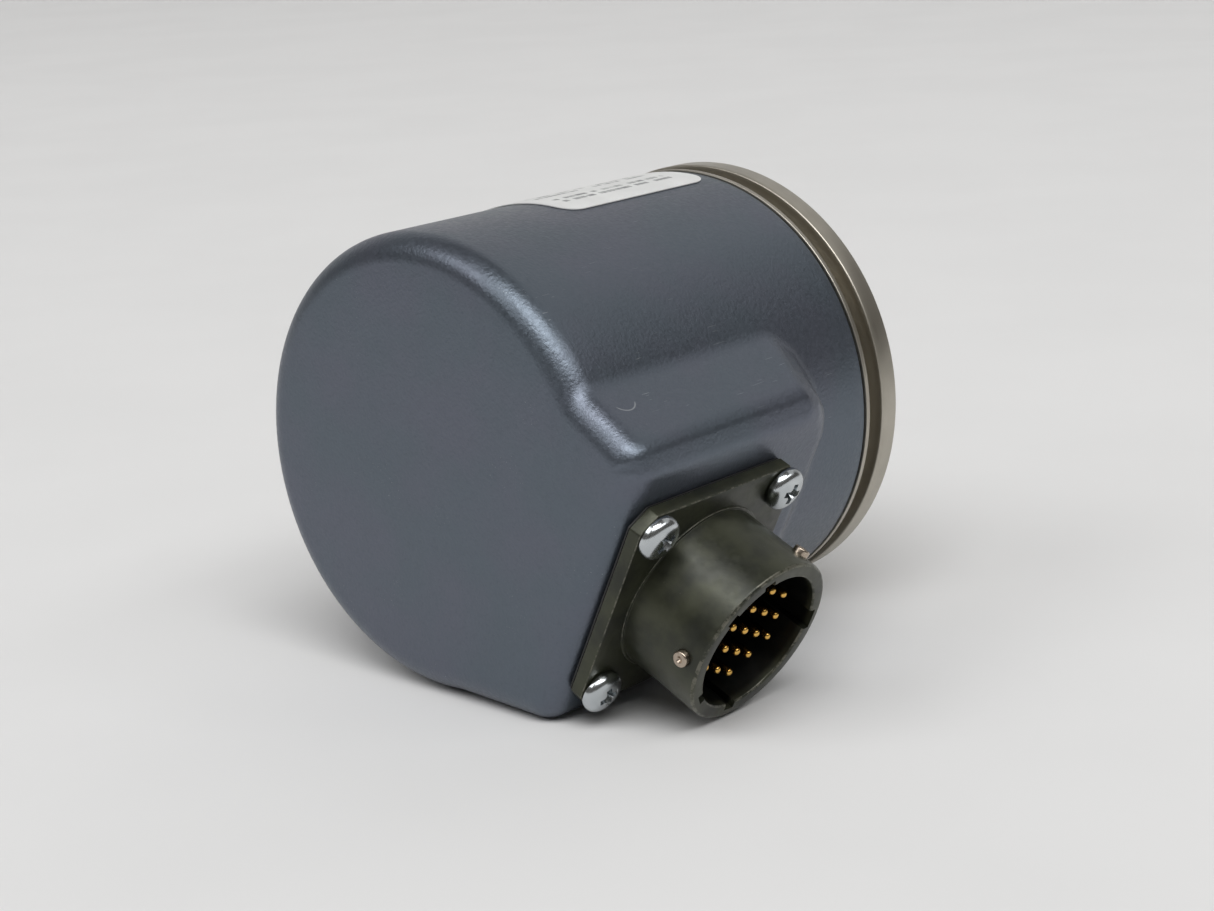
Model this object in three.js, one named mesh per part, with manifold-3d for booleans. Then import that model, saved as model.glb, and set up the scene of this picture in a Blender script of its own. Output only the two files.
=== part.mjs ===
// Rotary encoder, 58 mm size, with a synchro flange and a 19-way box receptacle on the side of its cap.
// Millimetres. +Y runs along the shaft towards its free end, +Z is up with the encoder lying on its side,
// and the origin is the centre of the shaft's end face.
import * as THREE from "three";
import { mergeVertices } from "three/addons/utils/BufferGeometryUtils.js";
import Module from "manifold-3d";

const wasm = await Module();
wasm.setup();

// ---------- driving dimensions ----------

const TURN = 2 * Math.PI;
const GAP = 0.1; // between pieces that touch on the real object
const CUT = 1; // how far a cutting tool reaches past the face it cuts
const LARGE_ROUND = 48; // facets round a large turned piece
const SMALL_ROUND = 24;

// Shaft and flange
const SHAFT_RADIUS = 3;
const SHAFT_PROJECTION = 10; // from the pilot's face to the shaft's end
const PILOT_RADIUS = 25;
const PILOT_HEIGHT = 3;
const PILOT_FACE = -SHAFT_PROJECTION;
const RIM_FACE = PILOT_FACE - PILOT_HEIGHT;
const RIM_RADIUS = 29;
const RIM_THICKNESS = 3.1;
const GROOVE_RADIUS = 26.5; // the synchro clamps grip in this groove
const GROOVE_REAR = RIM_FACE - 5.5;
const LIP_RADIUS = 28.8;
const LIP_REAR = RIM_FACE - 6.2;
const SPIGOT_RADIUS = 26.4;
const SPIGOT_REAR = RIM_FACE - 11.5;
const HUB_RADIUS = 12.5;
const HUB_REAR = RIM_FACE - 32.5;
const FIXING_CIRCLE_RADIUS = 21;
const FIXING_HOLE_RADIUS = 1.65; // tapping size of M4
const FIXING_HOLE_DEPTH = 7;
const FIXING_COUNT = 3;

// Bearings, 6 x 19 x 6 mm
const BEARING_WIDTH = 5.9;
const BEARING_BORE = SHAFT_RADIUS + 0.05;
const BEARING_OUTER = 9.45;
const INNER_RING_OUTER = 4.9;
const OUTER_RING_BORE = 7.6;
const BALL_RADIUS = 1.75;
const BALL_CIRCLE = 6.25;
const BALL_COUNT = 7;
const RACE_RADIUS = BALL_RADIUS + 0.1;
const BEARING_SEAT = 9.5;
const FRONT_BEARING = PILOT_FACE - 9.6; // middle of its width
const REAR_BEARING = PILOT_FACE - 28.5;

// Grooves in the flange for the retaining ring behind the rear bearing and for the seal ring under the cap
const CIRCLIP_SEAT = 10.1;
const CIRCLIP_FRONT = REAR_BEARING - 4.5;
const CIRCLIP_REAR = CIRCLIP_FRONT - 1;
const SEAL_GROOVE_RADIUS = 24.9;
const SEAL_GROOVE_FRONT = LIP_REAR - 2.3;
const SEAL_GROOVE_REAR = SEAL_GROOVE_FRONT - 1.8;

// Code disc and board
const DISC_RADIUS = 17;
const DISC_FRONT = -47.4;
const DISC_THICKNESS = 1;
const TRACK_RADIUS = 14.6;
const BOARD_RADIUS = 23.5;
const BOARD_FLAT = 17; // the board's edge on the connector's side
const BOARD_FRONT = -52.2;
const BOARD_THICKNESS = 1.6;
const STANDOFF_CIRCLE = 20;
const OPTICS_ANGLE = (120 * Math.PI) / 180; // from the connector's direction

// Cap
const CAP_RADIUS = 28.63;
const CAP_BORE = 26.6;
const CAP_FRONT = RIM_FACE - 6.45;
const CAP_REAR = RIM_FACE - 57.56;
const CAP_WALL = 2.2;
const CAP_FILLET = 3.5;

// Pad on the side of the cap. Its own axes: x across, y outwards, z along the shaft.
const PAD_ANGLE = (25.75 * Math.PI) / 180; // below the horizontal: the pad's corner rests on the ground
const PAD_FACE = 29.35; // from the shaft's axis
const PAD_CORNER = 4; // fillet round the pad's face
const UPPER_DRAFT = 8; // degrees that the pad's flank leans in, on the side that lies higher
const UPPER_HALF_FLAT = 17.5; // from the middle to where the face's flat part ends on that side
const LOWER_DRAFT = 23.5;
const LOWER_HALF_FLAT = 15.52;
const END_DRAFT = 21.5; // degrees, at the pad's end towards the flange
const PAD_BLEND = 4; // hollow fillet from the pad's flank to the cylinder
const PAD_END = RIM_FACE - 22.24; // where the face's flat part ends
const PAD_PLAN_CORNER = 8; // rounding between the pad's flanks and its end, seen from outside
const PAD_ROOT_HALF_WIDTH = 25.9;
const PAD_ROOT_END = RIM_FACE - 15.4;

// Connector, shell size 14 with 19 contacts. Heights are distances from the shaft's axis.
const CONNECTOR_CENTRE = RIM_FACE - 41.8;
const GASKET_THICKNESS = 0.2;
const PLATE_REAR = PAD_FACE + GASKET_THICKNESS + 2 * GAP;
const PLATE_FRONT = 31.5;
const PLATE_SIDE = 28.58;
const PLATE_CHAMFER = 2.2;
const SCREW_SPACING = 23.01;
const BARREL_RADIUS = 11.09;
const BARREL_FRONT = 42.95;
const BARREL_BORE = 9.2;
const REAR_BARREL_RADIUS = 10.4;
const REAR_BARREL_END = 22;
const INSERT_RADIUS = 8.95;
const INSERT_FRONT = 34.5;
const INSERT_REAR = 23;
const CONTACT_RADIUS = 0.51;
const CONTACT_PITCH = 3.3;
const CONTACT_FRONT = BARREL_FRONT - 2;
const CONTACT_REAR = 20.4;
const CONTACT_ROW_TURN = (27.6 * Math.PI) / 180;
const CONTACT_ROWS = [3, 4, 5, 4, 3];
const KEYWAY_DEPTH = 0.85;
const KEYWAY_WIDTH = 1.7;
const MAIN_KEYWAY_WIDTH = 2.8;
const MAIN_KEYWAY_ANGLE = 90; // degrees from straight up the pad, turning towards the flange
const KEYWAY_ANGLES = [185, 235, 308, 344];
const BAYONET_ANGLES = [30, 150, 270];
const BAYONET_HEIGHT = PLATE_FRONT + 9;
const BAYONET_RADIUS = 1;
const BAYONET_REACH = 11.85;

// Label on the cap
const LABEL_THICKNESS = 0.12;
const LABEL_START = RIM_FACE - 34.6;
const LABEL_LENGTH = 26.7;
const LABEL_FIRST_ANGLE = -15; // degrees, from straight up the pad
const LABEL_SPAN = 80;

// ---------- materials ----------

function material(colour, roughness, metalness) {
  return new THREE.MeshStandardMaterial({ color: colour, roughness, metalness });
}

const capPaint = material(0x4f5a66, 0.5, 0.2);
const flangeMetal = material(0x9c978b, 0.38, 0.9);
const groundSteel = material(0xb4b6b8, 0.25, 1);
const springSteel = material(0x5a5c5e, 0.4, 1);
const cageSteel = material(0xa98f55, 0.35, 0.9);
const brass = material(0xb08a45, 0.35, 1);
const rubber = material(0x161616, 0.75, 0);
const discGlass = material(0xbfd0cf, 0.08, 0);
const reticleGlass = material(0x9fb0b4, 0.1, 0);
const lensPlastic = material(0xcfd6da, 0.1, 0);
const blackPlastic = material(0x17181a, 0.5, 0);
const boardLaminate = material(0x1f5a35, 0.55, 0);
const chipPlastic = material(0x232427, 0.45, 0);
const connectorFinish = material(0x34372d, 0.45, 0.6);
const insertPlastic = material(0x0d0d0e, 0.55, 0);
const gold = material(0xd8a94a, 0.25, 1);
const nickel = material(0xa9a395, 0.3, 1);
const zincSteel = material(0xc6c9cb, 0.28, 1);
const gasketRubber = material(0x101010, 0.8, 0);
const labelFilm = material(0xe9e9e7, 0.45, 0);
const wireSleeve = material(0x6a6d70, 0.6, 0);

// ---------- geometry helpers ----------

// A closed mesh as a solid that can be joined and cut.
function solid(geometry) {
  const bare = geometry.clone();
  bare.deleteAttribute("normal");
  bare.deleteAttribute("uv");
  const merged = mergeVertices(bare, 1e-4);
  const vertProperties = merged.getAttribute("position").array;
  const triVerts = new Uint32Array(merged.index.array);
  return new wasm.Manifold(new wasm.Mesh({ numProp: 3, vertProperties, triVerts }));
}

function geometryOf(body) {
  const mesh = body.getMesh();
  const geometry = new THREE.BufferGeometry();
  geometry.setAttribute("position", new THREE.BufferAttribute(mesh.vertProperties, 3));
  geometry.setIndex(new THREE.BufferAttribute(mesh.triVerts, 1));
  geometry.computeVertexNormals();
  return geometry;
}

// A profile of [radius, height] turned about Y. It runs upwards on the outside of the piece.
function turned(profile, segments) {
  const points = profile.map(([radius, height]) => new THREE.Vector2(radius, height));
  return new THREE.LatheGeometry(points, segments);
}

// A turned ring or tube: its profile closes on itself.
function turnedRing(profile, segments) {
  return turned([...profile, profile[0]], segments);
}

function plainRing(inner, outer, low, high, segments) {
  return turnedRing([[inner, low], [outer, low], [outer, high], [inner, high]], segments);
}

// Points of an arc in a [first, second] plane, from one angle to another in degrees.
function arc(first, second, radius, from, to, steps) {
  const points = [];
  for (let i = 0; i <= steps; i += 1) {
    const angle = ((from + ((to - from) * i) / steps) * Math.PI) / 180;
    points.push([first + radius * Math.cos(angle), second + radius * Math.sin(angle)]);
  }
  return points;
}

function shapeOf(points) {
  return new THREE.Shape(points.map(([x, y]) => new THREE.Vector2(x, y)));
}

function extruded(shape, low, high, curveSegments = 12) {
  const geometry = new THREE.ExtrudeGeometry(shape, {
    depth: high - low,
    bevelEnabled: false,
    curveSegments,
  });
  return geometry.translate(0, 0, low);
}

// A shape drawn in x and -z and raised along y.
function raised(shape, low, high, curveSegments) {
  return extruded(shape, low, high, curveSegments).rotateX(-Math.PI / 2);
}

function cylinder(radius, low, high, segments) {
  const geometry = new THREE.CylinderGeometry(radius, radius, high - low, segments);
  return geometry.translate(0, (low + high) / 2, 0);
}

function box(width, height, depth, x, y, z) {
  return new THREE.BoxGeometry(width, height, depth).translate(x, y, z);
}

function addPiece(group, name, geometry, finish) {
  const mesh = new THREE.Mesh(geometry, finish);
  mesh.name = name;
  group.add(mesh);
  return mesh;
}

// ---------- frames ----------

const encoder = new THREE.Group();

// x across the pad, y outwards through the connector, z along the shaft
const across = new THREE.Vector3(Math.sin(PAD_ANGLE), 0, Math.cos(PAD_ANGLE));
const outwards = new THREE.Vector3(Math.cos(PAD_ANGLE), 0, -Math.sin(PAD_ANGLE));
const padFrame = new THREE.Group();
padFrame.quaternion.setFromRotationMatrix(
  new THREE.Matrix4().makeBasis(across, outwards, new THREE.Vector3(0, 1, 0)),
);
encoder.add(padFrame);

const connectorFrame = new THREE.Group();
connectorFrame.position.set(0, 0, CONNECTOR_CENTRE);
padFrame.add(connectorFrame);

// Place in the pad frame of a point on a circle about the shaft, by its angle from the connector's direction.
function aroundShaft(radius, angle) {
  return [radius * Math.sin(angle), radius * Math.cos(angle)];
}

// ---------- flange ----------

function flangeGeometry() {
  const sealSeat = 8;
  const sealShoulder = PILOT_FACE - 4.5;
  const shaftHole = 5.5;
  const bearingShoulder = FRONT_BEARING + BEARING_WIDTH / 2 + GAP;
  const chamfer = 0.5;
  const edge = 0.25;
  const rimRear = RIM_FACE - RIM_THICKNESS;
  const body = solid(
    turnedRing(
      [
        [BEARING_SEAT, HUB_REAR],
        [HUB_RADIUS, HUB_REAR],
        [HUB_RADIUS, SPIGOT_REAR],
        [SPIGOT_RADIUS - chamfer, SPIGOT_REAR],
        [SPIGOT_RADIUS, SPIGOT_REAR + chamfer],
        [SPIGOT_RADIUS, SEAL_GROOVE_REAR],
        [SEAL_GROOVE_RADIUS, SEAL_GROOVE_REAR],
        [SEAL_GROOVE_RADIUS, SEAL_GROOVE_FRONT],
        [SPIGOT_RADIUS, SEAL_GROOVE_FRONT],
        [SPIGOT_RADIUS, LIP_REAR],
        [LIP_RADIUS, LIP_REAR],
        [LIP_RADIUS, GROOVE_REAR],
        [GROOVE_RADIUS, GROOVE_REAR],
        [GROOVE_RADIUS, rimRear],
        [RIM_RADIUS - edge, rimRear],
        [RIM_RADIUS, rimRear + edge],
        [RIM_RADIUS, RIM_FACE - edge],
        [RIM_RADIUS - edge, RIM_FACE],
        [PILOT_RADIUS, RIM_FACE],
        [PILOT_RADIUS, PILOT_FACE - chamfer],
        [PILOT_RADIUS - chamfer, PILOT_FACE],
        [sealSeat, PILOT_FACE],
        [sealSeat, sealShoulder],
        [shaftHole, sealShoulder],
        [shaftHole, bearingShoulder],
        [BEARING_SEAT, bearingShoulder],
        [BEARING_SEAT, CIRCLIP_FRONT],
        [CIRCLIP_SEAT, CIRCLIP_FRONT],
        [CIRCLIP_SEAT, CIRCLIP_REAR],
        [BEARING_SEAT, CIRCLIP_REAR],
      ],
      LARGE_ROUND,
    ),
  );
  let cut = body;
  for (let i = 0; i < FIXING_COUNT; i += 1) {
    const angle = Math.PI / 2 + (i * TURN) / FIXING_COUNT;
    const hole = cylinder(FIXING_HOLE_RADIUS, PILOT_FACE - FIXING_HOLE_DEPTH, PILOT_FACE + CUT, 14);
    hole.translate(FIXING_CIRCLE_RADIUS * Math.cos(angle), 0, FIXING_CIRCLE_RADIUS * Math.sin(angle));
    cut = cut.subtract(solid(hole));
  }
  return geometryOf(cut);
}

addPiece(encoder, "flange", flangeGeometry(), flangeMetal);

// ---------- shaft and what turns with it ----------

function shaftGeometry() {
  const chamfer = 0.4;
  const collarRadius = 4.3;
  const collarFront = PILOT_FACE - 4.9;
  const collarRear = FRONT_BEARING + BEARING_WIDTH / 2 + GAP / 2;
  const clipFront = REAR_BEARING - BEARING_WIDTH / 2 - GAP;
  const clipRear = clipFront - 0.8;
  const clipSeat = 2.65;
  const rear = DISC_FRONT - 2.2;
  const body = solid(
    turned(
      [
        [0, rear],
        [SHAFT_RADIUS - chamfer, rear],
        [SHAFT_RADIUS, rear + chamfer],
        [SHAFT_RADIUS, clipRear],
        [clipSeat, clipRear],
        [clipSeat, clipFront],
        [SHAFT_RADIUS, clipFront],
        [SHAFT_RADIUS, collarRear],
        [collarRadius, collarRear],
        [collarRadius, collarFront],
        [SHAFT_RADIUS, collarFront],
        [SHAFT_RADIUS, -chamfer],
        [SHAFT_RADIUS - chamfer, 0],
        [0, 0],
      ],
      SMALL_ROUND,
    ),
  );
  const flatHeight = SHAFT_RADIUS - 0.5;
  const flatLength = 8;
  const flat = box(2 * SHAFT_RADIUS, flatLength + CUT, 2, 0, (CUT - flatLength) / 2, flatHeight + 1);
  return geometryOf(body.subtract(solid(flat)));
}

addPiece(encoder, "shaft", shaftGeometry(), groundSteel);

// Half of the arc, in degrees, that a race cuts into its ring
const RACE_HALF_ARC = (Math.acos((BALL_CIRCLE - INNER_RING_OUTER) / RACE_RADIUS) * 180) / Math.PI;

function innerRingGeometry(middle) {
  const low = middle - BEARING_WIDTH / 2;
  const high = middle + BEARING_WIDTH / 2;
  const groove = arc(BALL_CIRCLE, middle, RACE_RADIUS, 180 + RACE_HALF_ARC, 180 - RACE_HALF_ARC, 5);
  return turnedRing([[BEARING_BORE, low], [INNER_RING_OUTER, low], ...groove, [INNER_RING_OUTER, high],
    [BEARING_BORE, high]], SMALL_ROUND);
}

function outerRingGeometry(middle) {
  const low = middle - BEARING_WIDTH / 2;
  const high = middle + BEARING_WIDTH / 2;
  const groove = arc(BALL_CIRCLE, middle, RACE_RADIUS, RACE_HALF_ARC, -RACE_HALF_ARC, 5);
  return turnedRing([[OUTER_RING_BORE, low], [BEARING_OUTER, low], [BEARING_OUTER, high],
    [OUTER_RING_BORE, high], ...groove], SMALL_ROUND);
}

function ballCageGeometry(middle) {
  const cageHalfThickness = 0.4;
  const cageHalfWidth = 0.9;
  let body = solid(
    plainRing(BALL_CIRCLE - cageHalfThickness, BALL_CIRCLE + cageHalfThickness,
      middle - cageHalfWidth, middle + cageHalfWidth, SMALL_ROUND),
  );
  for (let i = 0; i < BALL_COUNT; i += 1) {
    const angle = (i * TURN) / BALL_COUNT;
    const ball = new THREE.SphereGeometry(BALL_RADIUS, 8, 6);
    ball.translate(BALL_CIRCLE * Math.cos(angle), middle, BALL_CIRCLE * Math.sin(angle));
    body = body.add(solid(ball));
  }
  return geometryOf(body);
}

for (const [place, middle] of [["front", FRONT_BEARING], ["rear", REAR_BEARING]]) {
  addPiece(encoder, `${place}_bearing_outer_ring`, outerRingGeometry(middle), groundSteel);
  addPiece(encoder, `${place}_bearing_inner_ring`, innerRingGeometry(middle), groundSteel);
  addPiece(encoder, `${place}_bearing_ball_cage`, ballCageGeometry(middle), cageSteel);
}

const SPACER_FRONT = FRONT_BEARING - BEARING_WIDTH / 2 - GAP;
const SPACER_REAR = REAR_BEARING + BEARING_WIDTH / 2 + GAP;
const SPACER_OUTER = 4.6;
const spacer = plainRing(BEARING_BORE, SPACER_OUTER, SPACER_REAR, SPACER_FRONT, SMALL_ROUND);
addPiece(encoder, "bearing_spacer", spacer, groundSteel);

// A split ring, open over a few degrees
function splitRingGeometry(inner, outer, low, high, opening) {
  const outside = arc(0, 0, outer, opening / 2, 360 - opening / 2, SMALL_ROUND);
  const inside = arc(0, 0, inner, 360 - opening / 2, opening / 2, SMALL_ROUND);
  return extruded(shapeOf([...outside, ...inside]), -high, -low).rotateX(Math.PI / 2);
}

const CLIP_FRONT = REAR_BEARING - BEARING_WIDTH / 2 - 2 * GAP;
const CLIP_CLEARANCE = 0.07; // from a retaining ring to each side of its groove
const shaftClip = splitRingGeometry(2.72, 4.6, CLIP_FRONT - 0.6, CLIP_FRONT, 60);
const housingClip = splitRingGeometry(8.3, CIRCLIP_SEAT - GAP, CIRCLIP_REAR + CLIP_CLEARANCE,
  CIRCLIP_FRONT - CLIP_CLEARANCE, 40);
addPiece(encoder, "shaft_retaining_ring", shaftClip, springSteel);
addPiece(encoder, "housing_retaining_ring", housingClip, springSteel);

function waveSpringGeometry() {
  const middle = (REAR_BEARING - BEARING_WIDTH / 2 + CIRCLIP_FRONT) / 2;
  const thickness = 0.3;
  const waveHeight = 0.3;
  const waves = 3;
  const ring = plainRing(7.9, 9.2, middle - thickness / 2, middle + thickness / 2, 36);
  const place = ring.getAttribute("position");
  for (let i = 0; i < place.count; i += 1) {
    const angle = Math.atan2(place.getZ(i), place.getX(i));
    place.setY(i, place.getY(i) + waveHeight * Math.cos(waves * angle));
  }
  return ring;
}

addPiece(encoder, "wave_spring", waveSpringGeometry(), springSteel);

function shaftSealGeometry() {
  const front = PILOT_FACE - 0.6;
  const rear = PILOT_FACE - 4.3;
  const lip = SHAFT_RADIUS + 0.12;
  return turnedRing([[5.2, rear], [7.9, rear], [7.9, front], [lip + 0.6, front], [lip, front - 0.7],
    [lip + 0.4, front - 1.5], [5.2, front - 1.2]], SMALL_ROUND);
}

addPiece(encoder, "shaft_seal", shaftSealGeometry(), rubber);

// ---------- code disc ----------

const DISC_REAR = DISC_FRONT - DISC_THICKNESS;

function discHubGeometry() {
  const collarFront = CLIP_FRONT - 0.8;
  const flangeFront = DISC_FRONT + 1.1;
  const flangeRear = DISC_FRONT + GAP;
  const noseRear = DISC_REAR - 1;
  const bore = SHAFT_RADIUS + 0.05;
  return turnedRing([[bore, noseRear], [4.4, noseRear], [4.4, flangeRear], [9, flangeRear], [9, flangeFront],
    [7, flangeFront], [7, collarFront], [bore, collarFront]], SMALL_ROUND);
}

addPiece(encoder, "code_disc_hub", discHubGeometry(), brass);
addPiece(encoder, "code_disc", plainRing(4.5, DISC_RADIUS, DISC_REAR, DISC_FRONT, 48), discGlass);
addPiece(encoder, "disc_clamp_ring", plainRing(4.5, 8, DISC_REAR - 0.9, DISC_REAR - GAP, SMALL_ROUND), brass);

// ---------- light source, sensor and board ----------

function placedInPad(geometry, radius, angle) {
  const [x, y] = aroundShaft(radius, angle);
  return geometry.rotateZ(-angle).translate(x, y, 0);
}

function lightHolderGeometry() {
  const front = SPIGOT_REAR - GAP;
  const rear = DISC_FRONT + 1;
  const body = box(7, 5.4, front - rear, 0, 0, (front + rear) / 2);
  const foot = box(12, 5.4, 2.4, 0, 0, front - 1.2);
  const lensWell = cylinder(1.9, -1.5, CUT, 16).rotateX(-Math.PI / 2).translate(0, 0, rear);
  const joined = solid(body).add(solid(foot)).subtract(solid(lensWell));
  return placedInPad(geometryOf(joined), TRACK_RADIUS + 1.5, OPTICS_ANGLE);
}

function lensGeometry() {
  const radius = 1.7;
  const front = DISC_FRONT + 2.3;
  const rear = DISC_FRONT + 0.5;
  const dome = 0.5;
  const profile = [[0, -front], [radius, -front], [radius, -rear - dome], [radius * 0.7, -rear - dome * 0.3],
    [0, -rear]];
  return placedInPad(turned(profile, 16).rotateX(-Math.PI / 2), TRACK_RADIUS + 1.5, OPTICS_ANGLE);
}

addPiece(padFrame, "light_source_holder", lightHolderGeometry(), blackPlastic);
addPiece(padFrame, "light_source_lens", lensGeometry(), lensPlastic);

const RETICLE_FRONT = DISC_REAR - 0.5;
const RETICLE_REAR = RETICLE_FRONT - 0.8;
const reticle = box(9, 6, RETICLE_FRONT - RETICLE_REAR, 0, 0, (RETICLE_FRONT + RETICLE_REAR) / 2);
addPiece(padFrame, "sensor_reticle", placedInPad(reticle, TRACK_RADIUS, OPTICS_ANGLE), reticleGlass);

const CHIP_FRONT = RETICLE_REAR - GAP;
const CHIP_REAR = BOARD_FRONT + GAP;
const chip = box(11, 8, CHIP_FRONT - CHIP_REAR, 0, 0, (CHIP_FRONT + CHIP_REAR) / 2);
addPiece(padFrame, "sensor_chip", placedInPad(chip, TRACK_RADIUS, OPTICS_ANGLE), chipPlastic);

function sensorBoardGeometry() {
  const edge = (Math.asin(BOARD_FLAT / BOARD_RADIUS) * 180) / Math.PI;
  const outline = shapeOf(arc(0, 0, BOARD_RADIUS, 180 - edge, 360 + edge, 36));
  for (const place of STANDOFF_ANGLES) {
    const [x, y] = aroundShaft(STANDOFF_CIRCLE, place);
    outline.holes.push(new THREE.Path().absarc(x, y, 1.7, 0, TURN, true));
  }
  return extruded(outline, BOARD_FRONT - BOARD_THICKNESS, BOARD_FRONT, 8);
}

const STANDOFF_ANGLES = [60, 180, 300].map((degrees) => (degrees * Math.PI) / 180);
addPiece(padFrame, "sensor_board", sensorBoardGeometry(), boardLaminate);

// A turned profile whose axis is the shaft's direction, standing on a circle about the shaft
function onBoardCircle(geometry, angle) {
  const [x, y] = aroundShaft(STANDOFF_CIRCLE, angle);
  return geometry.rotateX(Math.PI / 2).translate(x, y, 0);
}

STANDOFF_ANGLES.forEach((angle, index) => {
  const front = SPIGOT_REAR - GAP;
  const rear = BOARD_FRONT + GAP;
  const bore = 1.75;
  const boreFront = rear + 6;
  const standoff = turned([[bore, rear], [2.9, rear], [2.9, front], [0, front], [0, boreFront],
    [bore, boreFront], [bore, rear]], 6);
  addPiece(padFrame, `board_standoff_${index + 1}`, onBoardCircle(standoff, angle), brass);
  const boardRear = BOARD_FRONT - BOARD_THICKNESS;
  const screw = turned([[0, boardRear - 2], [1.6, boardRear - 2], [2.6, boardRear - 1.2],
    [2.7, boardRear - GAP], [1.4, boardRear - GAP], [1.4, rear + 4], [0, rear + 4]], 12);
  addPiece(padFrame, `board_screw_${index + 1}`, onBoardCircle(screw, angle), zincSteel);
});

// ---------- cap ----------

// One side of the pad in the outline across the cap, from the cylinder over the hollow and the flank to
// the face, and the angle in degrees where it leaves the cylinder
function padFlank(draft, halfFlat) {
  const slope = (draft * Math.PI) / 180;
  const cornerHeight = PAD_FACE - PAD_CORNER;
  const offset = Math.cos(slope) * halfFlat + Math.sin(slope) * cornerHeight + PAD_CORNER;
  const root = slope + Math.acos((offset + PAD_BLEND) / (CAP_RADIUS + PAD_BLEND));
  const rootDegrees = (root * 180) / Math.PI;
  const blendX = (CAP_RADIUS + PAD_BLEND) * Math.cos(root);
  const blendY = (CAP_RADIUS + PAD_BLEND) * Math.sin(root);
  const hollow = arc(blendX, blendY, PAD_BLEND, 180 + rootDegrees, 180 + draft, 4);
  const corner = arc(halfFlat, cornerHeight, PAD_CORNER, draft, 90, 8);
  return { rootDegrees, points: [...hollow, ...corner] };
}

// The outline across the cap: a circle with the pad, whose upper side is where x is positive
function capOutline(radius, circleSteps) {
  const upper = padFlank(UPPER_DRAFT, UPPER_HALF_FLAT);
  const lower = padFlank(LOWER_DRAFT, LOWER_HALF_FLAT);
  const circle = arc(0, 0, radius, 180 - lower.rootDegrees, 360 + upper.rootDegrees, circleSteps);
  const mirrored = lower.points.map(([x, y]) => [-x, y]).reverse();
  return [...circle, ...upper.points, ...mirrored];
}

// The pad's end towards the flange, seen from the side: [outwards, along the shaft]
function padSideOutline() {
  const cornerHeight = PAD_FACE - PAD_CORNER;
  const below = -CAP_RADIUS - CUT;
  const rounding = arc(cornerHeight, PAD_END, PAD_CORNER, 0, 90 - END_DRAFT, 6);
  const [lastHeight, lastPlace] = rounding[rounding.length - 1];
  const root = lastPlace + lastHeight * Math.tan((END_DRAFT * Math.PI) / 180);
  return [[below, CAP_REAR - CUT], [PAD_FACE + CUT, CAP_REAR - CUT], [PAD_FACE + CUT, PAD_END], ...rounding,
    [0, root], [below, root]];
}

// The pad seen from outside: square at the rear, rounded at its end towards the flange
function padPlanOutline() {
  const cornerX = PAD_ROOT_HALF_WIDTH - PAD_PLAN_CORNER;
  const cornerZ = PAD_ROOT_END - PAD_PLAN_CORNER;
  const rounding = arc(cornerX, cornerZ, PAD_PLAN_CORNER, 0, 90, 6);
  const mirrored = rounding.map(([x, z]) => [-x, z]).reverse();
  return [[-PAD_ROOT_HALF_WIDTH, CAP_REAR - CUT], [PAD_ROOT_HALF_WIDTH, CAP_REAR - CUT], ...rounding,
    ...mirrored];
}

function filletedPrism(outline, low, high, fillet, steps) {
  const geometry = new THREE.ExtrudeGeometry(shapeOf(outline), {
    depth: high - low - 2 * fillet,
    bevelEnabled: true,
    bevelThickness: fillet,
    bevelSize: fillet,
    bevelOffset: -fillet,
    bevelSegments: steps,
  });
  return geometry.translate(0, 0, low + fillet);
}

function capGeometry() {
  const filletSteps = 4;
  const innerFillet = 1.5;
  const hidden = 0.05; // the prism's round part lies this far inside the turned body
  const fillet = arc(CAP_RADIUS - CAP_FILLET, CAP_REAR + CAP_FILLET, CAP_FILLET, -90, 0, filletSteps);
  const round = solid(turned([[0, CAP_REAR], ...fillet, [CAP_RADIUS, CAP_FRONT], [0, CAP_FRONT]], 64)
    .rotateX(Math.PI / 2));
  const outline = capOutline(CAP_RADIUS - hidden, 40);
  const prism = solid(filletedPrism(outline, CAP_REAR, CAP_FRONT, CAP_FILLET, filletSteps));
  const side = extruded(shapeOf(padSideOutline()), -CAP_RADIUS - CUT, CAP_RADIUS + CUT);
  // turned so that its x, y and z run outwards, along the shaft and across
  side.applyMatrix4(new THREE.Matrix4().set(0, 0, 1, 0, 1, 0, 0, 0, 0, 1, 0, 0, 0, 0, 0, 1));
  const plan = raised(shapeOf(padPlanOutline().map(([x, z]) => [x, -z])), 0, PAD_FACE + CUT);
  const outside = round.add(prism.intersect(solid(side)).intersect(solid(plan)));
  const innerRear = CAP_REAR + CAP_WALL;
  const innerCorner = arc(CAP_BORE - innerFillet, innerRear + innerFillet, innerFillet, -90, 0, 2);
  const innerProfile = [[0, innerRear], ...innerCorner, [CAP_BORE, CAP_FRONT + CUT], [0, CAP_FRONT + CUT]];
  const inside = turned(innerProfile, LARGE_ROUND).rotateX(Math.PI / 2);
  let body = outside.subtract(solid(inside));
  const cutFrom = 15; // well inside the cap's wall
  const opening = cylinder(REAR_BARREL_RADIUS + 0.5, cutFrom, PAD_FACE + CUT, 40);
  body = body.subtract(solid(opening.translate(0, 0, CONNECTOR_CENTRE)));
  for (const [x, z] of screwPlaces) {
    const hole = cylinder(1.6, cutFrom, PAD_FACE + CUT, 12).translate(x, 0, CONNECTOR_CENTRE + z);
    body = body.subtract(solid(hole));
  }
  return geometryOf(body);
}

const screwOffsets = [-SCREW_SPACING / 2, SCREW_SPACING / 2];
const screwPlaces = screwOffsets.flatMap((x) => screwOffsets.map((z) => [x, z]));
addPiece(padFrame, "cap", capGeometry(), capPaint);

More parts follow.
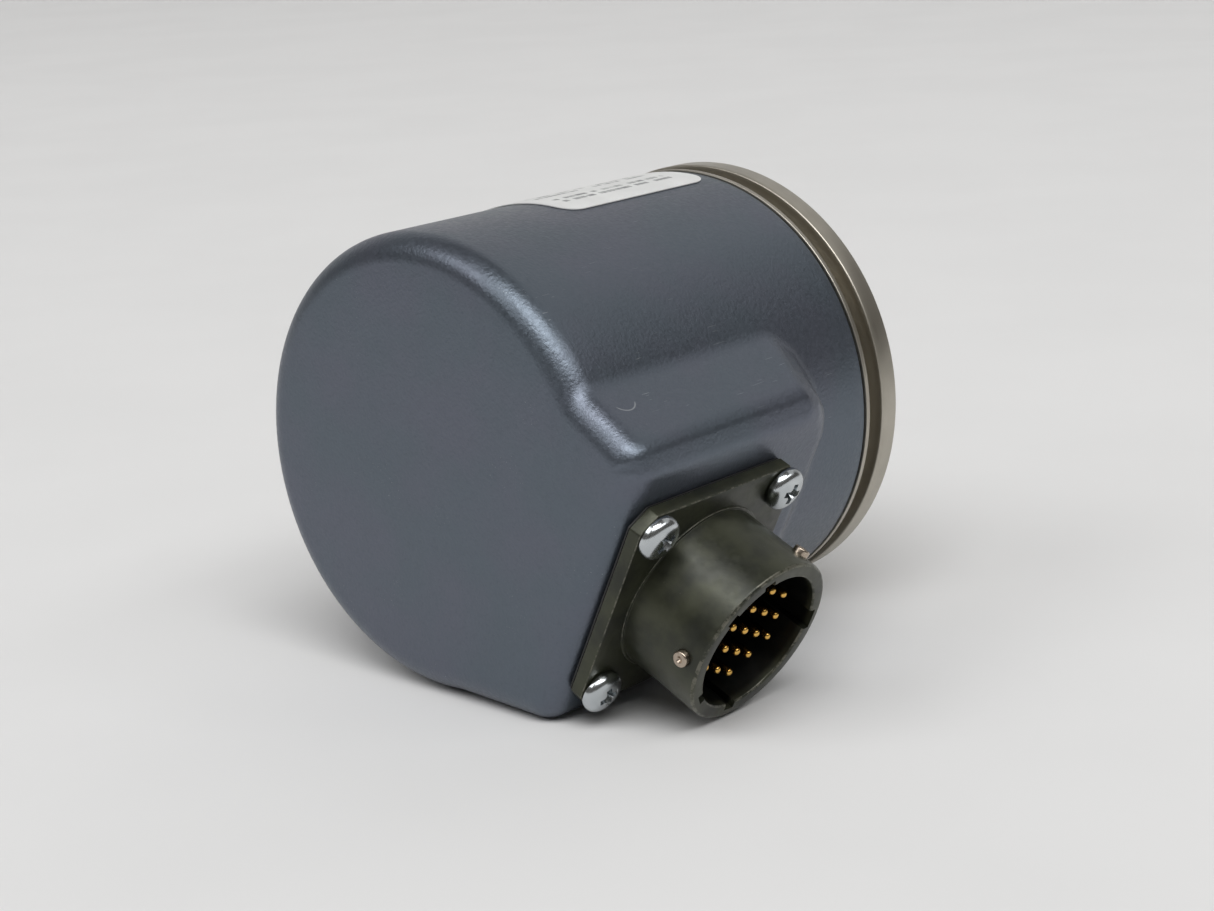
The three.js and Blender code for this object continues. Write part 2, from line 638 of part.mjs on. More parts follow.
const SEAL_SECTION = 0.72; // half its thickness
const sealRing = new THREE.TorusGeometry(SEAL_GROOVE_RADIUS + SEAL_SECTION + 0.18, SEAL_SECTION, 6, 40);
sealRing.rotateX(Math.PI / 2).translate(0, (SEAL_GROOVE_FRONT + SEAL_GROOVE_REAR) / 2, 0);
addPiece(encoder, "cap_seal_ring", sealRing, rubber);

function labelGeometry() {
  const inner = CAP_RADIUS + GAP / 2;
  const outer = inner + LABEL_THICKNESS;
  const last = LABEL_FIRST_ANGLE - LABEL_SPAN;
  const outline = [...arc(0, 0, outer, last, LABEL_FIRST_ANGLE, 24),
    ...arc(0, 0, inner, LABEL_FIRST_ANGLE, last, 24)];
  return extruded(shapeOf(outline), LABEL_START, LABEL_START + LABEL_LENGTH);
}

addPiece(padFrame, "label", labelGeometry(), labelFilm);

// ---------- connector ----------

// The square plate's outline with its corners cut off and its four screw holes
function plateShape(side, chamfer, holeRadius) {
  const half = side / 2;
  const short = half - chamfer;
  const outline = shapeOf([[half, -short], [half, short], [short, half], [-short, half], [-half, short],
    [-half, -short], [-short, -half], [short, -half]]);
  for (const [x, z] of screwPlaces) {
    outline.holes.push(new THREE.Path().absarc(x, -z, holeRadius, 0, TURN, true));
  }
  return outline;
}

function connectorShellGeometry() {
  const edge = 0.25;
  const inPlate = (PLATE_REAR + PLATE_FRONT) / 2;
  const barrel = turnedRing([[BARREL_BORE, REAR_BARREL_END], [REAR_BARREL_RADIUS, REAR_BARREL_END],
    [REAR_BARREL_RADIUS, inPlate], [BARREL_RADIUS, inPlate], [BARREL_RADIUS, BARREL_FRONT - edge],
    [BARREL_RADIUS - edge, BARREL_FRONT], [BARREL_BORE + edge, BARREL_FRONT],
    [BARREL_BORE, BARREL_FRONT - edge]], 48);
  const plate = raised(plateShape(PLATE_SIDE, PLATE_CHAMFER, 1.65), PLATE_REAR, PLATE_FRONT, 8);
  const centreHole = cylinder(BARREL_BORE + 0.4, PLATE_REAR - CUT, PLATE_FRONT + CUT, 48);
  let body = solid(plate).subtract(solid(centreHole)).add(solid(barrel));
  const keyBottom = INSERT_FRONT - 0.5;
  const keyHeight = BARREL_FRONT + CUT - keyBottom;
  const narrow = KEYWAY_ANGLES.map((angle) => [angle, KEYWAY_WIDTH]);
  const cuts = [[MAIN_KEYWAY_ANGLE, MAIN_KEYWAY_WIDTH], ...narrow];
  for (const [degrees, width] of cuts) {
    const length = KEYWAY_DEPTH + CUT;
    const middle = BARREL_BORE + KEYWAY_DEPTH - length / 2;
    const slot = box(length, keyHeight, width, middle, keyBottom + keyHeight / 2, 0);
    slot.rotateY((-degrees * Math.PI) / 180);
    body = body.subtract(solid(slot));
  }
  for (const degrees of BAYONET_ANGLES) {
    const hole = cylinder(BAYONET_RADIUS + GAP, BARREL_BORE + 0.4, BARREL_RADIUS + CUT, 14);
    hole.rotateZ(-Math.PI / 2).rotateY((-degrees * Math.PI) / 180).translate(0, BAYONET_HEIGHT, 0);
    body = body.subtract(solid(hole));
  }
  return geometryOf(body);
}

addPiece(connectorFrame, "connector_shell", connectorShellGeometry(), connectorFinish);

function gasketGeometry() {
  const outline = plateShape(PLATE_SIDE - 0.3, PLATE_CHAMFER, 1.7);
  outline.holes.push(new THREE.Path().absarc(0, 0, REAR_BARREL_RADIUS + 0.3, 0, TURN, true));
  return raised(outline, PAD_FACE + GAP, PAD_FACE + GAP + GASKET_THICKNESS, 12);
}

addPiece(connectorFrame, "connector_gasket", gasketGeometry(), gasketRubber);

// Places of the contacts: five rows that make a hexagon
const contactPlaces = CONTACT_ROWS.flatMap((count, row) => {
  const rowOffset = (row - (CONTACT_ROWS.length - 1) / 2) * CONTACT_PITCH * Math.sin(Math.PI / 3);
  return Array.from({ length: count }, (_, i) => {
    const along = (i - (count - 1) / 2) * CONTACT_PITCH;
    const x = rowOffset * Math.cos(CONTACT_ROW_TURN) - along * Math.sin(CONTACT_ROW_TURN);
    const z = rowOffset * Math.sin(CONTACT_ROW_TURN) + along * Math.cos(CONTACT_ROW_TURN);
    return [x, z];
  });
});

function insertGeometry() {
  let body = solid(turned([[0, INSERT_REAR], [INSERT_RADIUS, INSERT_REAR], [INSERT_RADIUS, INSERT_FRONT],
    [0, INSERT_FRONT]], 40));
  for (const [x, z] of contactPlaces) {
    const hole = cylinder(CONTACT_RADIUS + GAP, INSERT_REAR - CUT, INSERT_FRONT + CUT, 8).translate(x, 0, z);
    body = body.subtract(solid(hole));
  }
  return geometryOf(body);
}

addPiece(connectorFrame, "connector_insert", insertGeometry(), insertPlastic);

function contactGeometry() {
  const tip = CONTACT_RADIUS * 0.8;
  const cupRadius = 0.85;
  const cupFront = INSERT_REAR - 2 * GAP;
  return turned([[0, CONTACT_REAR], [cupRadius, CONTACT_REAR], [cupRadius, cupFront],
    [CONTACT_RADIUS, cupFront], [CONTACT_RADIUS, CONTACT_FRONT - tip],
    [CONTACT_RADIUS * 0.7, CONTACT_FRONT - tip * 0.3], [0, CONTACT_FRONT]], 8);
}

contactPlaces.forEach(([x, z], index) => {
  const number = String(index + 1).padStart(2, "0");
  addPiece(connectorFrame, `contact_pin_${number}`, contactGeometry(), gold).position.set(x, 0, z);
});

BAYONET_ANGLES.forEach((degrees, index) => {
  const inner = BARREL_BORE + 0.5;
  const chamfer = 0.2;
  const dimple = 0.45;
  const dimpleDepth = 0.35;
  const pin = turned([[0, inner], [BAYONET_RADIUS, inner], [BAYONET_RADIUS, BAYONET_REACH - chamfer],
    [BAYONET_RADIUS - chamfer, BAYONET_REACH], [dimple, BAYONET_REACH],
    [0, BAYONET_REACH - dimpleDepth]], 14);
  pin.rotateZ(-Math.PI / 2);
  const mesh = addPiece(connectorFrame, `bayonet_pin_${index + 1}`, pin, nickel);
  mesh.rotation.y = (-degrees * Math.PI) / 180;
  mesh.position.y = BAYONET_HEIGHT;
});

// A pan-head screw with a cross recess
function connectorScrewGeometry() {
  const headRadius = 2.8;
  const headHeight = 1.9;
  const seat = PLATE_FRONT + GAP;
  const top = seat + headHeight;
  const shankRadius = 1.45;
  const shankEnd = seat - 7.5;
  const body = turned([[0, shankEnd], [shankRadius - 0.3, shankEnd], [shankRadius, shankEnd + 0.4],
    [shankRadius, seat], [headRadius, seat], [headRadius, seat + 0.6], [headRadius - 0.45, top - 0.45],
    [headRadius - 1.2, top - 0.08], [0, top]], 16);
  let cut = solid(body);
  const recessDepth = 1.1;
  for (const quarter of [0, Math.PI / 2]) {
    const slot = box(3.1, recessDepth + CUT, 0.75, 0, top - recessDepth / 2 + CUT / 2, 0).rotateY(quarter);
    cut = cut.subtract(solid(slot));
  }
  return geometryOf(cut);
}

const SCREW_TURNS = [20, 65, 40, 80]; // degrees, how each screw happened to come tight
screwPlaces.forEach(([x, z], index) => {
  const mesh = addPiece(connectorFrame, `connector_screw_${index + 1}`, connectorScrewGeometry(), zincSteel);
  mesh.position.set(x, 0, z);
  mesh.rotation.y = (SCREW_TURNS[index] * Math.PI) / 180;
});

// ---------- wiring from the board to the connector ----------

function wiringGeometry() {
  const boardRear = BOARD_FRONT - BOARD_THICKNESS;
  const route = new THREE.CatmullRomCurve3([
    new THREE.Vector3(-3, 4, boardRear - GAP * 3),
    new THREE.Vector3(-3, 4.4, boardRear - 3.5),
    new THREE.Vector3(-2, 9, boardRear - 7),
    new THREE.Vector3(-0.5, 14.5, boardRear - 5.2),
    new THREE.Vector3(0, 17.6, CONNECTOR_CENTRE - 0.6),
    new THREE.Vector3(0, 19.3, CONNECTOR_CENTRE),
  ]);
  const section = shapeOf(arc(0, 0, 1.6, 0, 315, 7));
  return new THREE.ExtrudeGeometry(section, { steps: 14, bevelEnabled: false, extrudePath: route });
}

addPiece(padFrame, "wiring_loom", wiringGeometry(), wireSleeve);

export default encoder;
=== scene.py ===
"""Looks of a rotary encoder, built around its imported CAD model.

Lengths are in millimetres until a mesh is made.
"""

import functools
import itertools
import math

import bmesh
import bpy
import numpy as np
from mathutils import Matrix, Vector


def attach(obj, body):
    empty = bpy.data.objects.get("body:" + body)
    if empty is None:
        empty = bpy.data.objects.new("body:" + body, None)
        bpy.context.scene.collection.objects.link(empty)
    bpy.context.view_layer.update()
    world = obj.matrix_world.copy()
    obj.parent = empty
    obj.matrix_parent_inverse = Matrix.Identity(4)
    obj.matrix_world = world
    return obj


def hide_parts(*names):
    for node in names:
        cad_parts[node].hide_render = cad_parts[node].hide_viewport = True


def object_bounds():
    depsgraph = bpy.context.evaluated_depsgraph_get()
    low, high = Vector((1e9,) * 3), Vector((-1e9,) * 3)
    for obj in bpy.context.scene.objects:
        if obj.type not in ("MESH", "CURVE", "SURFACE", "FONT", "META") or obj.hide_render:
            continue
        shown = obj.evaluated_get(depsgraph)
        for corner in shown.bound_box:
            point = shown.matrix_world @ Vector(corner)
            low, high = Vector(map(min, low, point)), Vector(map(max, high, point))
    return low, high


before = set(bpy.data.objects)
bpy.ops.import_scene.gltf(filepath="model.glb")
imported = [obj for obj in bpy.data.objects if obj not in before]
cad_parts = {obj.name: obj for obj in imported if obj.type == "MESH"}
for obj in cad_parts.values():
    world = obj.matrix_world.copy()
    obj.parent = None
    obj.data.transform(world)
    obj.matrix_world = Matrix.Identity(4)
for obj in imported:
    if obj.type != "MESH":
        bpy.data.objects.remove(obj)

cad_box = [list(corner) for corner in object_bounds()]

MM = 0.001
TURN = 2 * math.pi
GAP = 0.1  # between pieces that touch on the real object

# ---------- driving dimensions, the same as the CAD model's ----------

SHAFT_RADIUS = 3.0
PILOT_RADIUS = 25.0
PILOT_FACE = -10.0
RIM_FACE = -13.0
RIM_RADIUS = 29.0
RIM_REAR = RIM_FACE - 3.1
GROOVE_RADIUS = 26.5
GROOVE_REAR = RIM_FACE - 5.5
LIP_RADIUS = 28.8
LIP_REAR = RIM_FACE - 6.2
SPIGOT_RADIUS = 26.4
SPIGOT_REAR = RIM_FACE - 11.5
HUB_RADIUS = 12.5
HUB_REAR = RIM_FACE - 32.5
FIXING_CIRCLE_RADIUS = 21
FIXING_HOLE_DEPTH = 7
FIXING_COUNT = 3
FRONT_BEARING = PILOT_FACE - 9.6
REAR_BEARING = PILOT_FACE - 28.5
BEARING_WIDTH = 5.9
BEARING_SEAT = 9.5
DISC_FRONT = -47.4

CAP_RADIUS = 28.63
CAP_BORE = 26.6
CAP_FRONT = RIM_FACE - 6.45
CAP_REAR = RIM_FACE - 57.56
CAP_WALL = 2.2
CAP_FILLET = 3.5

PAD_ANGLE = math.radians(25.75)  # of the pad's direction below the horizontal
PAD_FACE = 29.35
PAD_CORNER = 4.0
UPPER_DRAFT = math.radians(8)  # how far the pad's flank leans in, on the side that lies higher
UPPER_HALF_FLAT = 17.5  # from the middle of the pad's face to where its rounded edge starts
LOWER_DRAFT = math.radians(23.5)  # the same two for the other flank
LOWER_HALF_FLAT = 15.52
END_DRAFT = math.radians(21.5)  # how far the pad's front end leans back
PAD_BLEND = 4.0  # radius of the hollow between the pad and the cylinder
PAD_END = RIM_FACE - 22.24

CONNECTOR_CENTRE = RIM_FACE - 41.8
PLATE_REAR = 29.75
PLATE_FRONT = 31.5
PLATE_SIDE = 28.58
PLATE_CHAMFER = 2.2
SCREW_SPACING = 23.01
BARREL_RADIUS = 11.09
BARREL_FRONT = 42.95
BARREL_BORE = 9.2
REAR_BARREL_RADIUS = 10.4
REAR_BARREL_END = 22.0
INSERT_RADIUS = 8.95
INSERT_FRONT = 34.5
INSERT_REAR = 23.0
CONTACT_RADIUS = 0.51
CONTACT_PITCH = 3.3
CONTACT_FRONT = BARREL_FRONT - 2
CONTACT_REAR = 20.4
CONTACT_ROW_TURN = math.radians(27.6)
CONTACT_ROWS = [3, 4, 5, 4, 3]
KEYWAY_DEPTH = 0.85
KEYWAYS = [(90, 2.8), (185, 1.7), (235, 1.7), (308, 1.7), (344, 1.7)]  # angle in degrees, width
BAYONET_ANGLES = [30, 150, 270]
BAYONET_HEIGHT = PLATE_FRONT + 9
BAYONET_RADIUS = 1.0
BAYONET_REACH = 11.85

LABEL_THICKNESS = 0.12
LABEL_START = RIM_FACE - 34.6
LABEL_LENGTH = 26.7
LABEL_FIRST_ANGLE = math.radians(105)  # from the connector's direction
LABEL_SPAN = math.radians(80)

SEAL_FACE = PILOT_FACE - 0.6

# ---------- frames ----------

ACROSS = Vector((math.sin(PAD_ANGLE), 0, math.cos(PAD_ANGLE)))
OUTWARDS = Vector((math.cos(PAD_ANGLE), 0, -math.sin(PAD_ANGLE)))
ALONG = Vector((0, 1, 0))

ENCODER = Matrix.Identity(4)
PAD = Matrix((ACROSS, OUTWARDS, ALONG)).transposed().to_4x4()


def in_connector(x=0.0, y=0.0, z=0.0, turn=0.0):
    """A frame on the connector: x across the pad, y outwards, z along the shaft, turned about y."""
    place = Matrix.Translation(Vector((x, y, CONNECTOR_CENTRE + z)) * MM)
    return PAD @ place @ Matrix.Rotation(turn, 4, "Y")


# ---------- mesh helpers ----------


def rounded(corners, steps=4, closed=True):
    """A profile whose corners, given as (x, y) or (x, y, radius), are turned into arcs."""
    points = []
    count = len(corners)
    for i, corner in enumerate(corners):
        here = np.array(corner[:2], float)
        radius = corner[2] if len(corner) > 2 else 0
        if not radius or (not closed and i in (0, count - 1)):
            points.append(tuple(here))
            continue
        before = np.array(corners[i - 1][:2]) - here
        after = np.array(corners[(i + 1) % count][:2]) - here
        before /= np.linalg.norm(before)
        after /= np.linalg.norm(after)
        half = math.acos(float(np.clip(before @ after, -1, 1))) / 2
        middle = (before + after) / np.linalg.norm(before + after)
        centre = here + middle * radius / math.sin(half)
        first = here + before * radius / math.tan(half) - centre
        last = here + after * radius / math.tan(half) - centre
        sweep = math.pi - 2 * half
        for step in range(steps + 1):
            share = step / steps
            reach = math.sin((1 - share) * sweep) * first + math.sin(share * sweep) * last
            points.append(tuple(centre + reach / math.sin(sweep)))
    return points


def loft(rings, closed=False):
    """Points and faces of a skin through rings. A ring of one point is a pole."""
    points = []
    numbered = []
    for ring in rings:
        numbered.append(range(len(points), len(points) + len(ring)))
        points.extend(tuple(point) for point in ring)
    faces = []
    following = numbered[1:] + numbered[:1] if closed else numbered[1:]
    for low, high in zip(numbered, following):
        count = max(len(low), len(high))
        for i in range(count):
            j = (i + 1) % count
            around = [low[i % len(low)], low[j % len(low)], high[j % len(high)], high[i % len(high)]]
            face = list(dict.fromkeys(around))
            if len(face) > 2:
                faces.append(face)
    return points, faces


def lathe(profile, segments, closed=False):
    """A profile of (radius, height) turned about Y. An open profile starts and ends on the axis."""
    angles = np.arange(segments) * TURN / segments
    rings = []
    for radius, height in profile:
        if radius < 1e-6:
            rings.append([(0, height, 0)])
        else:
            rings.append([(radius * math.cos(a), height, radius * math.sin(a)) for a in angles])
    return loft(rings, closed)


def add_mesh(name, points, faces):
    mesh = bpy.data.meshes.new(name)
    mesh.from_pydata((np.array(points) * MM).tolist(), [], faces)
    whole = bmesh.new()
    whole.from_mesh(mesh)
    bmesh.ops.recalc_face_normals(whole, faces=whole.faces)
    whole.to_mesh(mesh)
    whole.free()
    made = bpy.data.objects.new(name, mesh)
    bpy.context.scene.collection.objects.link(made)
    return made


def combine(target, tools, operation="DIFFERENCE"):
    """Cuts tools out of target, or joins them to it. The tools are used up."""
    for tool in tools:
        step = target.modifiers.new(tool.name, "BOOLEAN")
        step.operation = operation
        step.solver = "MANIFOLD"
        step.object = tool
    graph = bpy.context.evaluated_depsgraph_get()
    mesh = bpy.data.meshes.new_from_object(target.evaluated_get(graph))
    target.modifiers.clear()
    target.data = mesh
    for tool in tools:
        bpy.data.objects.remove(tool)
    return target


def turned_tool(profile, segments=32, place=None):
    """A closed turned solid that cuts or joins. Its frame is the frame of the piece that it works on."""
    tool = add_mesh("tool", *lathe(profile, segments))
    if place is not None:
        tool.data.transform(place)
    return tool


def shifted(x, y, z):
    return Matrix.Translation(Vector((x, y, z)) * MM)


def box_tool(low, high, place=None):
    corners = list(itertools.product(*zip(low, high)))
    faces = [(0, 1, 3, 2), (4, 5, 7, 6), (0, 1, 5, 4), (2, 3, 7, 6), (0, 2, 6, 4), (1, 3, 7, 5)]
    tool = add_mesh("tool", corners, faces)
    if place is not None:
        tool.data.transform(place)
    return tool


def mark_edges(mesh):
    """Stores wear = 1 on the rounded outer edges, whose facets turn by 16 to 40 degrees."""
    whole = bmesh.new()
    whole.from_mesh(mesh)
    layer = whole.verts.layers.float.new("wear")
    for vertex in whole.verts:
        turns = [math.degrees(edge.calc_face_angle_signed(0)) for edge in vertex.link_edges]
        vertex[layer] = float(any(16 < turn < 40 for turn in turns))
    whole.to_mesh(mesh)
    whole.free()


def finish_piece(made, place, body, slot, replaced=(), sharp=35):
    """Shades a mesh, places it and ties it to its CAD body, nodes and material slot.

    The attribute "local" keeps where each vertex is in the piece's own axes.
    """
    mesh = made.data
    mesh.shade_smooth()
    mesh.set_sharp_from_angle(angle=math.radians(sharp))
    mark_edges(mesh)
    points = np.empty(3 * len(mesh.vertices), np.float32)
    mesh.vertices.foreach_get("co", points)
    mesh.attributes.new("local", "FLOAT_VECTOR", "POINT").data.foreach_set("vector", points)
    mesh.transform(place)
    mesh.materials.clear()
    mesh.materials.append(finish(slot))
    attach(made, body)
    if replaced:
        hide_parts(*replaced)
    return made


# ---------- material helpers ----------


class Look:
    """A node material around one Principled shader.

    Its patterns lie in a piece's own axes, or in those of a CAD node.
    """

    def __init__(self, name, on_node, **sockets):
        self.material = bpy.data.materials.new(name)
        self.material.use_nodes = True
        self.tree = self.material.node_tree
        self.shader = self.tree.nodes["Principled BSDF"]
        if on_node:
            self.place = self.node("ShaderNodeTexCoord").outputs["Object"]
        else:
            self.place = self.node("ShaderNodeAttribute", attribute_name="local").outputs["Vector"]
        for socket, value in sockets.items():
            self.set(socket.replace("_", " "), value)

    def feed(self, socket, value):
        if isinstance(value, bpy.types.NodeSocket):
            self.tree.links.new(value, socket)
        else:
            socket.default_value = value

    def set(self, socket, value):
        self.feed(self.shader.inputs[socket], value)

    def node(self, kind, inputs=None, **settings):
        made = self.tree.nodes.new(kind)
        for setting, value in settings.items():
            setattr(made, setting, value)
        for socket, value in (inputs or {}).items():
            self.feed(made.inputs[socket], value)
        return made

    def maths(self, operation, *values, clamp=False):
        made = self.node("ShaderNodeMath", operation=operation, use_clamp=clamp)
        for socket, value in zip(made.inputs, values):
            self.feed(socket, value)
        return made.outputs[0]

    def noise(self, size, detail=2.0, roughness=0.5, vector=None, distortion=0.0):
        """Noise from 0 to 1 whose features are about this many millimetres across."""
        inputs = {
            "Vector": vector or self.place,
            "Scale": 1 / (size * MM),
            "Detail": detail,
            "Roughness": roughness,
            "Distortion": distortion,
        }
        return self.node("ShaderNodeTexNoise", inputs).outputs["Fac"]

    def spread(self, value, low, high, to_low=0.0, to_high=1.0):
        """Maps a value smoothly from one range to another and clamps it."""
        inputs = {"Value": value, "From Min": low, "From Max": high, "To Min": to_low, "To Max": to_high}
        made = self.node("ShaderNodeMapRange", inputs, interpolation_type="SMOOTHSTEP")
        return made.outputs["Result"]

    def mix(self, share, first, second):
        made = self.node("ShaderNodeMix", data_type="RGBA")
        self.feed(made.inputs["Factor"], share)
        self.feed(made.inputs[6], first)
        self.feed(made.inputs[7], second)
        return made.outputs[2]

    def stretched(self, x, y, z):
        """The look's coordinates, stretched so that patterns are x, y and z times as long."""
        made = self.node("ShaderNodeMapping", {"Vector": self.place, "Scale": (1 / x, 1 / y, 1 / z)})
        return made.outputs["Vector"]

    def axes(self):
        made = self.node("ShaderNodeSeparateXYZ", {"Vector": self.place})
        return made.outputs[0], made.outputs[1], made.outputs[2]

    def around_y(self, x, z):
        """Distance from the Y axis."""
        squares = self.maths("MULTIPLY", x, x), self.maths("MULTIPLY", z, z)
        return self.maths("SQRT", self.maths("ADD", *squares))

    def joined(self, x, y, z):
        return self.node("ShaderNodeCombineXYZ", {"X": x, "Y": y, "Z": z}).outputs[0]

    def bump(self, height, depth, strength=1.0):
        """Bumps of this depth in millimetres, on top of the bumps made before."""
        made = self.node("ShaderNodeBump", {"Height": height, "Distance": depth * MM, "Strength": strength})
        earlier = self.shader.inputs["Normal"].links
        if earlier:
            self.tree.links.new(earlier[0].from_socket, made.inputs["Normal"])
        self.tree.links.new(made.outputs["Normal"], self.shader.inputs["Normal"])

    def wear(self):
        return self.node("ShaderNodeAttribute", attribute_name="wear").outputs["Fac"]


def colour(red, green, blue):
    """A colour given as display values from 0 to 255, as a linear one."""
    return tuple(((value / 255 + 0.055) / 1.055) ** 2.4 for value in (red, green, blue)) + (1.0,)


def moulded(name, on_node, first, second, rough, grain=0.4, depth=0.01, patch=6.0, **sockets):
    """A moulded or cast surface: two close colours in soft patches, fine grain and uneven gloss."""
    look = Look(name, on_node, **sockets)
    look.set("Base Color", look.mix(look.spread(look.noise(patch, 3), 0.35, 0.65), first, second))
    uneven = look.noise(patch / 3, 4)
    look.set("Roughness", look.spread(uneven, 0.3, 0.7, rough - 0.05, rough + 0.07))
    look.bump(look.noise(grain, 3, 0.6), depth)
    return look.material


def machined(name, on_node, first, second, rough, line=0.12, depth=0.004, **sockets):
    """A turned metal surface: fine tool lines that run round the Y axis, and uneven gloss."""
    look = Look(name, on_node, **sockets)
    x, y, z = look.axes()
    lines = look.noise(line, 2, 0.6, look.joined(look.around_y(x, z), y, 0.0))
    patches = look.noise(5, 3)
    look.set("Base Color", look.mix(look.spread(patches, 0.35, 0.65), first, second))
    uneven = look.maths("ADD", look.maths("MULTIPLY", lines, 0.6), look.maths("MULTIPLY", patches, 0.4))
    look.set("Roughness", look.spread(uneven, 0.3, 0.7, rough - 0.06, rough + 0.1))
    look.bump(lines, depth)
    return look.material


# ---------- materials ----------


def cap_coating(name, on_node):
    """Blue-grey metallic powder coating with a leathery grain and a few hair scratches."""
    look = Look(name, on_node, Metallic=0.75, IOR=1.5, Specular_IOR_Level=1.0)
    slate = colour(93, 102, 112)
    plum = colour(97, 102, 114)
    dark = colour(82, 90, 99)
    pale = colour(176, 180, 184)
    patches = look.mix(look.spread(look.noise(14, 3), 0.35, 0.65), slate, plum)
    speckle = look.spread(look.noise(0.4, 3, 0.6), 0.5, 0.75)
    base = look.mix(look.maths("MULTIPLY", speckle, 0.35), patches, dark)
    stretched = look.noise(0.16, 1, 0.5, look.stretched(1, 1, 22), 0.25)
    where = look.spread(look.noise(9, 1), 0.56, 0.66)
    scratches = look.maths("MULTIPLY", look.spread(stretched, 0.735, 0.76), where)
    ring = look.maths("ADD", scratches, small_arc(look), clamp=True)
    look.set("Base Color", look.mix(look.maths("MULTIPLY", ring, 0.6), base, pale))
    look.set("Roughness", look.spread(look.noise(0.6, 4, 0.6), 0.3, 0.7, 0.31, 0.42))
    look.bump(look.noise(2.2, 2), 0.006)
    look.bump(look.noise(0.42, 2, 0.5), 0.045)
    return look.material


def small_arc(look):
    """A small curved scuff on the pad's upper flank, in the pad's own axes."""
    centre = Vector((22.5, 20.2, CAP_REAR + 5.7)) * MM
    radius = 1.75 * MM
    offset = look.node("ShaderNodeVectorMath", {0: look.place, 1: centre}, operation="DISTANCE")
    from_line = look.maths("ABSOLUTE", look.maths("SUBTRACT", offset.outputs["Value"], radius))
    line = look.spread(from_line, 0.04 * MM, 0.12 * MM, 1, 0)
    _, y, _ = look.axes()
    return look.maths("MULTIPLY", line, look.spread(y, centre.y + 0.6 * MM, centre.y + 1.1 * MM))


def connector_plating(name, on_node):
    """Olive plating, worn to bright metal along its edges; inside the bore, behind the rim, it is painted
    near black as painted shade.
    """
    look = Look(name, on_node, IOR=1.5)
    olive = colour(63, 65, 51)
    smoke = colour(44, 46, 39)
    bare = colour(146, 143, 131)
    patches = look.mix(look.spread(look.noise(7, 4, 0.6), 0.35, 0.65), olive, smoke)
    broken = look.spread(look.noise(0.9, 3, 0.7), 0.42, 0.6)
    nicks = look.spread(look.noise(0.5, 2, 0.6), 0.72, 0.78)
    worn = look.maths("MULTIPLY", look.spread(look.wear(), 0.45, 0.95), broken)
    worn = look.maths("MULTIPLY", look.maths("MAXIMUM", worn, look.maths("MULTIPLY", nicks, 0.25)), 0.4)
    x, y, z = look.axes()
    # painted shade: inside the bore, behind the front rim, the plating colour is replaced by near black
    in_bore = look.maths("LESS_THAN", look.around_y(x, z), (BARREL_BORE + 1) * MM)
    behind_rim = look.spread(y, (BARREL_FRONT - 1.2) * MM, (BARREL_FRONT - 0.4) * MM, 1, 0)
    painted_bore_shade = look.maths("MULTIPLY", in_bore, behind_rim)
    look.set("Base Color", look.mix(painted_bore_shade, look.mix(worn, patches, bare), colour(16, 17, 15)))
    look.set("Metallic", look.spread(worn, 0, 1, 0.45, 0.95))
    look.set("Roughness", look.spread(look.noise(1.2, 4, 0.6), 0.3, 0.7, 0.28, 0.4))
    look.bump(look.noise(0.25, 3, 0.6), 0.004)
    look.bump(look.noise(3, 2), 0.02, 0.5)
    return look.material


def between(look, value, low, high, soft):
    """1 where a value lies between two limits, with soft ends."""
    rise = look.spread(value, low, low + soft)
    fall = look.spread(value, high - soft, high, 1, 0)
    return look.maths("MULTIPLY", rise, fall)


def label_film(name, on_node):
    """White film printed with rows of plain grey bars."""
    margin = 3.1
    row_height = 1.55
    row_count = 21
    look = Look(name, on_node, IOR=1.48)
    x, y, z = look.axes()
    angle = look.maths("ARCTAN2", x, y)
    past_half = look.maths("MULTIPLY", look.maths("LESS_THAN", angle, 0.0), TURN)
    turned = look.maths("SUBTRACT", look.maths("ADD", angle, past_half), LABEL_FIRST_ANGLE)
    down = look.maths("SUBTRACT", look.maths("MULTIPLY", turned, CAP_RADIUS), margin)
    rows = look.maths("DIVIDE", down, row_height)
    row = look.maths("FLOOR", rows)
    in_row = between(look, look.maths("FRACT", rows), 0.2, 0.78, 0.06)
    words = look.noise(1.7, 0, 0.5, look.joined(look.maths("MULTIPLY", row, 0.0137), 0.0, z))
    strokes = look.noise(0.34, 0, 0.5, look.joined(look.maths("MULTIPLY", row, 0.0291), 0.0, z))
    word = look.spread(words, 0.43, 0.45)
    printed = look.maths("MULTIPLY", word, look.spread(strokes, 0.38, 0.52, 0.35, 1))
    used = between(look, z, (LABEL_START + 2.6) * MM, (LABEL_START + 23.5) * MM, 0.1 * MM)
    used = look.maths("MULTIPLY", used, between(look, rows, -0.1, row_count + 0.1, 0.1))
    blank = look.maths("COMPARE", look.maths("MODULO", row, 7.0), 2.0, 0.5)
    used = look.maths("MULTIPLY", used, look.maths("SUBTRACT", 1.0, blank))
    mask = look.maths("MULTIPLY", look.maths("MULTIPLY", in_row, printed), used)
    film = look.mix(look.spread(look.noise(5, 3), 0.35, 0.65), colour(226, 227, 226), colour(219, 220, 219))
    look.set("Base Color", look.mix(look.maths("MULTIPLY", mask, 0.9), film, colour(106, 108, 110)))
    look.set("Roughness", look.spread(look.noise(1.5, 3), 0.3, 0.7, 0.34, 0.46))
    look.bump(look.noise(1.8, 3), 0.008)
    return look.material


